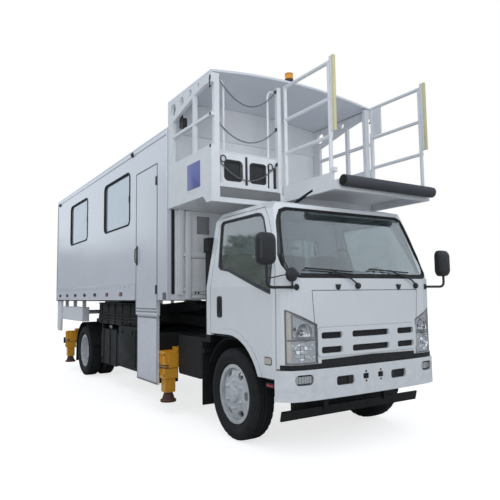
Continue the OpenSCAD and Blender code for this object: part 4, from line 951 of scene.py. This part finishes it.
def make_side_door_fittings():
    y = -BOX_Y
    bm = bmesh.new()
    for z in (2.876, 1.508):
        add_box(bm, (1.498, y - 0.009, z - 0.055), (1.539, y + 0.002, z + 0.055), 0.003)
        add_tube(bm, [(DOOR_X1, y, z - 0.06), (DOOR_X1, y, z + 0.06)], 0.0052, 12)
    add_box(bm, (0.836, y - 0.01, 1.845), (0.868, y + 0.004, 2.105), 0.005)
    grip = ((0.004, 1.875), (0.032, 1.89), (0.034, 1.975), (0.032, 2.06), (0.004, 2.075))
    add_tube(bm, [(0.852, y - out, z) for out, z in grip], 0.008, 10)
    piece("side_door_hinges", bm, "black_plastic", "side_door")
    bm = bmesh.new()
    for z in (1.225, 1.262):
        add_box(bm, (DOOR_X0 + 0.006, y - 0.006, z), (DOOR_X1 - 0.006, y + 0.002, z + 0.014), 0.004)
    x0, x1, low, top = DOOR_X0 + 0.004, DOOR_X1 - 0.004, 1.29, DOOR_Z1 - 0.004
    add_tube(bm, [(x, y - 0.001, z) for x, z in ((x0, low), (x0, top), (x1, top), (x1, low))], 0.005, 6)
    piece("side_door_trim", bm, "rubber_grey", "side_door")
    bm = bmesh.new()
    for z in (1.15, 0.349):
        add_box(bm, (0.817, -1.134, z), (1.503, -1.098, z + 0.02), 0.004)
    for x in (0.817, 1.491):
        add_box(bm, (x, -1.134, 0.349), (x + 0.012, -1.098, 1.15), 0.003)
    piece("skirt_edging", bm, "rubber_grey", "side_door")


def make_box_trim():
    trim, edge, hatch, plate = shapes(4)
    for sign, _ in SIDES:
        x0, x1 = BOX_X0 + 0.004, (BOX_X1 - 0.002 if sign > 0 else DOOR_X0 - 0.04)
        for z, end, high in ((1.592, x1, 0.012), (1.376, x1, 0.012), (3.386, BOX_X1 - 0.004, 0.01),
                             (3.446, BOX_X1 - 0.004, 0.01)):
            side_box(trim, sign, (x0, end), (BOX_Y, 1.1585), (z, z + high))
        for x in (BOX_X0 + 0.002, BOX_X1 - 0.034):
            add_box(trim, (x, sign * 1.153 - 0.006, 1.38), (x + 0.032, sign * 1.153 + 0.004, 3.45), 0.004)
        side_box(edge, sign, (BOX_X0 + 0.002, x1), (1.12, 1.157), (1.36, 1.378), 0.004)
        rivet = [(0.007, 0.0), (0.007, 0.003), (0.004, 0.005)]
        for x in [BOX_X0 + 0.15 + k * 0.19 for k in range(24)]:
            if x < x1 - 0.05:
                add_lathe(edge, rivet, (x, sign * 1.1555, 1.56), (0, sign, 0), 10)
    piece("box_edge_trim", trim, "box_panel", "box")
    piece("box_bottom_edge", edge, "dark_gap", "box")
    add_box(hatch, (1.725, -1.156, 1.385), (1.832, -1.148, 1.47), 0.004)
    for z in [1.396 + 0.0145 * k for k in range(5)]:
        add_box(hatch, (1.735, -1.159, z), (1.822, -1.154, z + 0.008), 0.002)
    piece("service_hatch", hatch, "grey_plastic", "box")
    add_plate(plate, -1, BOX_Y, (2.415, 2.58, 2.725, 2.865), 0.012, 0.004, 0.0015)
    piece("sign_plate", plate, "blue_plate", "box")


make_box_windows()
make_box_lamps()
make_side_door_fittings()
make_box_trim()


# Wheel arches, steps and stabiliser legs

def add_arc(bm, x, z, r0, r1, y0, y1, start, end, n=20):
    """Curved sheet round an axis across the vehicle."""
    rings = []
    for k in range(n + 1):
        a = math.radians(start + (end - start) * k / n)
        rings.append([Vector((x + r * math.cos(a), y, z + r * math.sin(a))) for r, y in
                      ((r0, y0), (r1, y0), (r1, y1), (r0, y1))])
    add_loft(bm, rings)


def make_arches():
    liners, steps, red = shapes(3)
    for sign, _ in SIDES:
        add_arc(liners, XF, AXLE_Z, 0.546, 0.552, sign * 0.56, sign * 0.96, 28, 152)
        side_box(steps, sign, (3.622, 3.806), (0.8, 0.958), (0.598, 0.64), 0.008)
        for x in [3.64 + 0.034 * k for k in range(5)]:
            side_box(steps, sign, (x, x + 0.012), (0.812, 0.946), (0.638, 0.645), 0.002)
        add_plate(red, sign, 0.957, (3.64, 0.606, 3.745, 0.632), 0.008, 0.005, 0.002)
    piece("arch_liners", liners, "dark_gap")
    piece("entry_steps", steps, "black_plastic")
    piece("step_reflectors", red, "red_lens")


FOOT = [(0.02, -0.0015), (0.094, -0.0015), (0.0965, 0.004), (0.0965, 0.022), (0.093, 0.027), (0.0795, 0.029),
        (0.07, 0.05), (0.073, 0.053), (0.062, 0.072), (0.065, 0.075), (0.052, 0.1), (0.056, 0.104),
        (0.056, 0.112), (0.044, 0.115)]


def make_legs():
    straps = bmesh.new()
    for x, place in ((1.57, "front"), (-3.28, "rear")):
        for sign, side in SIDES:
            y = sign * 1.01
            bm = bmesh.new()
            add_lathe(bm, FOOT, (x, y, 0.15), (0, 0, 1), 40)
            piece("foot_" + place + "_" + side, bm, "rust", "leg_%s_%s" % (place, side), 45)
            for z in (0.555, 0.583):
                outer, inner = ([Vector((x + a, y + b, z)) for a, b in rounded(-h, -h, h, h, r, 4)]
                                for h, r in ((0.091, 0.012), (0.0855, 0.008)))
                add_ring(straps, outer, inner, (0, 0, 0.012))
            for z in (0.47, 0.72):
                for a in (-0.07, 0.07):
                    add_bolt(straps, (x + a, y + sign * 0.085, z), (0, sign, 0), 0.009, 0.009)
    piece("leg_straps", straps, "grey_steel")


def make_trays():
    """Covered trays for hoses beside the scissor, filler cap and straps of the tank, lid of the locker."""
    trays, cap, straps = shapes(3)
    x0 = -1.62
    for sign, _ in SIDES:
        x1 = 1.74 if sign > 0 else 0.72
        side_box(trays, sign, (x0, x1), (0.76, 0.93), (0.975, 1.318), 0.012)
        side_box(trays, sign, (x0 - 0.008, x1 + 0.008), (0.752, 0.938), (1.316, 1.332), 0.004)
        for x in [x0 + 0.14 + 0.36 * k for k in range(int((x1 - x0) / 0.36))]:
            side_box(trays, sign, (x, x + 0.03), (0.924, 0.94), (0.985, 1.31))
            for z in (1.02, 1.275):
                add_bolt(trays, (x + 0.015, sign * 0.94, z), (0, sign, 0), 0.008, 0.007)
        for x in (-1.5, -0.62, 0.3, 1.24):
            if x < x1:
                side_box(trays, sign, (x - 0.022, x + 0.022), (0.415, 0.905), (0.715, 0.765), 0.005)
                side_box(trays, sign, (x - 0.022, x + 0.022), (0.85, 0.905), (0.72, 0.982), 0.005)
        for z in (1.06, 1.11, 1.16):
            hose = ((x0 + 0.02, 0.938, z), (x0 + 1.0, 0.944, z - 0.012), (x1 - 0.02, 0.938, z))
            add_tube(trays, [(x, sign * y, h) for x, y, h in hose], 0.011, 8)
    piece("hose_trays", trays, "black_steel")
    rows = [(0.03, -0.004), (0.03, 0.02), (0.042, 0.022), (0.042, 0.048), (0.034, 0.056), (0.004, 0.058)]
    add_lathe(cap, rows, (-1.12, -0.86, 0.9), (0, 0, 1), 28)
    piece("filler_cap", cap, "chain_steel")
    for x in (-1.18, -0.845, -0.51):
        add_box(straps, (x - 0.024, -0.99, 0.335), (x + 0.024, -0.976, 0.905), 0.004)
        add_box(straps, (x - 0.024, -0.985, 0.896), (x + 0.024, -0.44, 0.906), 0.003)
        add_bolt(straps, (x, -0.99, 0.42), (0, -1, 0), 0.01, 0.01)
    add_plate(straps, -1, 0.991, (-0.33, 0.42, 0.39, 0.945), 0.03, 0.01, 0.004)
    for x in (-0.18, 0.24):
        add_box(straps, (x - 0.03, -1.014, 0.88), (x + 0.03, -0.998, 0.925), 0.004)
    piece("tank_straps", straps, "black_steel")


make_arches()
make_legs()
make_trays()


# Front wall of the box

def make_front_wall():
    white, grey, dark = shapes(3)
    slabs = ((dark, 1.069, 1.107, 1.45, 2.455, 0.012, 0.003), (white, 0.86, 0.93, 1.385, 2.455, 0.035, 0.006),
             (white, 0.61, 0.86, 1.885, 1.912, 0.022, 0.003), (white, 0.61, 0.86, 1.395, 1.432, 0.016, 0.003),
             (grey, 0.6, 0.86, 1.44, 1.88, 0.008, 0.003), (grey, 0.6, 0.86, 1.916, 2.42, 0.008, 0.003),
             (dark, 0.6, 0.77, 2.18, 2.4, 0.01, 0.003))
    screw = [(0.013, 0.006), (0.013, 0.011), (0.008, 0.013)]
    for sign, _ in SIDES:
        for bm, y0, y1, z0, z1, reach, bevel in slabs:
            side_box(bm, sign, (BOX_X1 - 0.002, BOX_X1 + reach), (y0, y1), (z0, z1), bevel)
        for y in (0.752, 0.793):
            add_lathe(dark, screw, (BOX_X1, sign * y, 1.459), (1, 0, 0), 14)
        # Crossing wires over the opening, cut off at its sides
        for mid in [0.589 + 0.0245 * k for k in range(9)]:
            for lean in (0.11, -0.11):
                ends = [min(max(y, 0.602), 0.768) for y in (mid - lean / 2, mid + lean / 2)]
                wire = [(BOX_X1 + 0.011, sign * y, 2.182 + 0.216 * ((y - mid) / lean + 0.5)) for y in ends]
                add_tube(grey, wire, 0.0024, 5)
    piece("front_wall_posts", white, "white_paint", "box")
    # The panels and wires take frame_white, lighter than a grey lining: painted light for the wall's shade
    # between cab and box.
    piece("front_wall_panels", grey, "frame_white", "box")
    piece("front_wall_strips", dark, "dark_gap", "box")


make_front_wall()


# Canopy and gangway fittings

ALONG_X, ALONG_Y, ALONG_Z = (Vector([float(i == k) for i in range(3)]) for k in range(3))
BARRIER_X, PANE_Z = 2.932, 2.737


def make_canopy_fittings():
    dark, white, apron = shapes(3)
    # Mesh-like plate across the front of the canopy floor, drawn dark grey as painted shade of the open recess
    # behind it.
    add_box(apron, (CANOPY_X1, -1.05, 2.437), (CANOPY_X1 + 0.005, -0.29, 2.54), 0.002)
    for _, z0, z1, _ in CHAINS:
        for y, z, way in ((CHAIN_Y0, z0, 1), (CHAIN_Y1, z1, -1)):
            side_box(dark, 1, (2.937, 2.969), (y - way * 0.002, y + way * 0.005), (z - 0.02, z + 0.02), 0.002)
            hook = ring_of(Vector((CHAIN_X, y + way * 0.012, z)), ALONG_X, ALONG_Z, 0.01, 14, 1.3)
            add_tube(dark, hook, 0.0035, 6, closed=True)
    # Dark panes and slots of the low barrier
    for y in (-0.862, -0.548):
        pane, outer, inner = ([Vector((x, y + a, PANE_Z + b)) for a, b in rounded(-h, -h, h, h, r)]
                              for x, h, r in ((2.916, 0.101, 0.044), (BARRIER_X, 0.115, 0.05),
                                              (BARRIER_X, 0.094, 0.04)))
        add_prism(dark, pane, (0.006, 0, 0))
        add_ring(dark, outer, inner, (0.004, 0, 0))
    for y, z1, half in ((-1.036, 2.905, 0.012), (-0.7, 2.905, 0.014), (-0.412, 2.86, 0.009),
                        (-0.33, 2.83, 0.018)):
        add_box(dark, (2.931, y - half, 2.59), (2.936, y + half, z1), 0.002)
    for y, z in ((-0.99, 2.85), (-0.395, 2.83)):
        add_tube(dark, ring_of(Vector((2.946, y, z)), ALONG_Y, ALONG_Z, 0.03, 24, 1.2), 0.006, 8, closed=True)
    for y in (-1.008, -0.728, -0.672, -0.436, -0.372):
        add_box(white, (2.93, y - 0.009, 2.59), (2.939, y + 0.009, 2.915), 0.003)
    add_box(white, (2.9, -1.056, 2.924), (2.938, -0.304, 2.938), 0.004)
    for y, out in ((-0.975, -1), (-0.41, 1)):
        rail = ((0.078, 3.7), (0.04, 3.696), (0.012, 3.672), (0.0, 3.63), (0.0, 2.93))
        add_tube(white, [(2.93, y + out * a, z) for a, z in rail], 0.012, 10)
    # Latches on the corner posts
    for sign, _ in SIDES:
        for x, z, h in ((2.958, 3.3, 0.012), (2.958, 2.962, 0.016), (2.962, 3.69, 0.022),
                        (2.962, 3.59, 0.01)):
            add_block(dark, (x, sign * 1.151, z), (0.014, 0.004, h))
        latch = ((1.156, 3.69), (1.16, 3.66), (1.156, 3.59))
        add_tube(dark, [(2.962, sign * y, z) for y, z in latch], 0.005, 6)
    # Lamp on the right side and base of the beacon
    add_plate(dark, -1, 1.102, (2.1, 3.385, 2.2, 3.5), 0.02, -0.06, 0.012)
    add_box(dark, (2.125, -1.11, 3.49), (2.165, -1.08, 3.545), 0.006)
    base = [(0.0565, 0.0), (0.0565, 0.026), (0.052, 0.034), (0.0515, 0.046), (0.0485, 0.048)]
    add_lathe(dark, base, (2.918, -0.09, 3.86), (0, 0, 1), 36)
    piece("canopy_fittings", dark, "black_plastic", "box")
    piece("barrier_uprights", white, "frame_white", "box")
    piece("canopy_apron", apron, "grey_plastic", "box")


def make_gangway_fittings():
    ribs, strut, guards, closer = shapes(4)
    rib = [(0.0555, -0.007), (0.0585, -0.004), (0.0585, 0.004), (0.0555, 0.007)]
    for y in [-0.175 + 0.03 * k for k in range(43)]:
        add_lathe(ribs, rib, (ROLL_X, y, ROLL_Z), (0, 1, 0), 28)
    piece("roll_ribs", ribs, "rubber", "gangway")
    end = [(0.05, -0.004), (0.05, 0.004), (0.02, 0.007), (0.016, 0.013), (0.004, 0.014)]
    for y, way in ((-0.19, -1), (1.122, 1)):
        add_lathe(strut, end, (ROLL_X, y, ROLL_Z), (0, way, 0), 28)
    add_tube(strut, [(2.9, -0.236, 2.338), (3.19, -0.236, 2.413), (3.483, -0.236, 2.489)], 0.017, 12)
    piece("gangway_strut", strut, "black_steel", "gangway")
    for y in (-0.225, 1.13):
        add_box(guards, (3.814, y - 0.0165, 3.028), (3.8395, y + 0.0165, 3.802), 0.004)
    piece("guard_strips", guards, "yellow_guard", "gangway")
    add_box(closer, (2.984, 1.118, 2.545), (3.03, 1.146, 3.44), 0.003)
    piece("gangway_closer", closer, "frame_white", "gangway")


make_canopy_fittings()
make_gangway_fittings()


# Rear doors and rear lamps

def make_rear():
    x = REAR_X
    for sign, side in SIDES:
        hinges, lock = shapes(2)
        for z in (1.62, 2.14, 2.66, 3.18):
            side_box(hinges, sign, (x - 0.007, x + 0.002), (0.9, 1.088), (z - 0.022, z + 0.022))
            add_tube(hinges, [(x - 0.004, sign * 1.084, z + h) for h in (-0.034, 0.034)], 0.008, 10)
            for y in (0.93, 1.01):
                add_bolt(hinges, (x - 0.007, sign * y, z), (-1, 0, 0), 0.007, 0.005)
        y = sign * 0.12
        add_tube(lock, [(x - 0.01, y, 1.45), (x - 0.01, y, 3.33)], 0.0085, 12)
        for z in (1.48, 2.0, 2.25, 2.9, 3.3):
            add_box(lock, (x - 0.012, y - 0.03, z - 0.02), (x + 0.002, y + 0.03, z + 0.02), 0.004)
        handle = ((0.014, 0.0, 2.125), (0.019, 0.06, 2.125), (0.019, 0.26, 2.118))
        add_tube(lock, [(x - out, y + sign * a, z) for out, a, z in handle], 0.009, 10)
        piece("rear_hinges_" + side, hinges, "black_plastic", "rear_door_" + side)
        piece("lock_rods_" + side, lock, "chain_steel", "rear_door_" + side)
    red, amber, rims = shapes(3)
    for sign, _ in SIDES:
        for bm, y0, y1 in ((red, 0.9, 0.99), (amber, 0.8, 0.89), (red, 0.7, 0.79)):
            a, b = sorted((sign * y0, sign * y1))
            line = [(-3.9695, y, z) for y, z in rounded(a, 1.386, b, 1.424, 0.012)]
            add_prism(bm, line, (-0.014, 0, 0), 0.003)
        side_box(rims, sign, (-3.976, -3.968), (0.69, 1.0), (1.38, 1.43))
    piece("rear_lamps_red", red, "red_lens", "box")
    piece("rear_lamps_amber", amber, "amber_glow", "box")
    piece("rear_lamp_frames", rims, "black_plastic", "box")


make_rear()


# Light, floor and background

TREE_TOP, HILL_TOP = 0.255, 0.085
SKY, REFLECTED, FLOOR_GLOW = 0.74, 1.15, 0.72
SUNS = (("key", (-0.62, 0.42, -0.66), 0.28, 50), ("fill", (-0.74, 0.66, -0.12), 0.16, 30),
        ("bounce", (-0.3, 0.3, 0.9), 0.12, 120))


def either(tree, *keys):
    """1 for rays of any of the given kinds."""
    path = new(tree, "LightPath").outputs
    total = path[keys[0]]
    for key in keys[1:]:
        total = calc(tree, "MAXIMUM", total, path[key])
    return total


def reflected_sky(tree):
    """Pale sky over far hills with a row of trees on the vehicle's right, seen only in glossy surfaces."""
    way = new(tree, "TexCoord").outputs["Generated"]
    part = axes(tree, way)
    crown = remap(tree, noise(tree, way, 7.0, 8.0, 0.65), 0.3, 0.7, -0.07, 0.07)
    height = calc(tree, "ADD", part["Z"], crown)
    below = remap(tree, height, TREE_TOP, TREE_TOP + 0.015, 1, 0)
    right = remap(tree, part["Y"], -0.36, -0.42, 0, 1)
    spots = remap(tree, noise(tree, way, 30.0, 6.0, 0.7), 0.35, 0.65, 0, 1)
    leaves = mix(tree, spots, (0.025, 0.035, 0.03), (0.12, 0.15, 0.12))
    air = mix(tree, remap(tree, part["Z"], 0.0, 0.8, 0, 1), (0.8, 0.86, 0.92), (0.62, 0.72, 0.84))
    hills = remap(tree, height, HILL_TOP - 0.02, HILL_TOP + 0.02, 1, 0)
    far = mix(tree, hills, air, (0.3, 0.32, 0.36))
    return mix(tree, calc(tree, "MULTIPLY", below, right), far, leaves)


def make_world():
    scene.world = bpy.data.worlds.new("world")
    scene.world.use_nodes = True
    tree = scene.world.node_tree
    sky = tree.nodes["Background"]
    put(sky, Color=(0.86, 0.93, 1.0, 1), Strength=SKY)
    glossy = new(tree, "Background", Color=reflected_sky(tree), Strength=REFLECTED)
    white = new(tree, "Background", Color=(1, 1, 1, 1), Strength=1.0)
    shader = sky.outputs[0]
    for keys, back in ((("Is Glossy Ray",), glossy), (("Is Camera Ray", "Is Transmission Ray"), white)):
        pick = new(tree, "MixShader")
        for socket, value in zip(pick.inputs, (either(tree, *keys), shader, back.outputs[0])):
            link(value, socket)
        shader = pick.outputs[0]
    put(tree.nodes["World Output"], Surface=shader)


def add_lamp(name, kind, aim, energy):
    lamp = bpy.data.objects.new(name, bpy.data.lights.new(name, kind))
    lamp.data.energy = energy
    lamp.rotation_euler = Vector(aim).to_track_quat("-Z", "Y").to_euler()
    scene.collection.objects.link(lamp)
    return lamp


def make_lamps():
    """Three suns, and a soft lamp into the canopy from ahead on the right."""
    for name, aim, energy, spread in SUNS:
        add_lamp(name, "SUN", aim, energy).data.angle = math.radians(spread)
    place = Vector((7.6, -2.6, 2.5))
    lamp = add_lamp("canopy_light", "SPOT", Vector((2.3, -0.2, 3.35)) - place, 420.0)
    lamp.location = place
    lamp.data.spot_size = math.radians(30)
    lamp.data.spot_blend = 0.7
    lamp.data.shadow_soft_size = 1.2


def make_floor():
    tree, out, coords = node_tree("floor")
    tone = mix(tree, noise(tree, coords, 2.0), (0.56, 0.56, 0.56), (0.59, 0.59, 0.59))
    put(out, Base_Color=tone, Roughness=1.0, Specular_IOR_Level=0.0)
    seen = either(tree, "Is Camera Ray", "Is Transmission Ray")
    lift = new(tree, "Emission", Strength=remap(tree, seen, 0, 1, 0, FLOOR_GLOW))
    both = new(tree, "AddShader")
    for socket, shader in zip(both.inputs, (out, lift)):
        link(shader.outputs[0], socket)
    put(tree.nodes["Material Output"], Surface=both.outputs[0])
    bm = bmesh.new()
    bmesh.ops.create_grid(bm, x_segments=2, y_segments=2, size=60)
    obj = as_object("floor", bm, "floor")


make_world()
make_lamps()
make_floor()
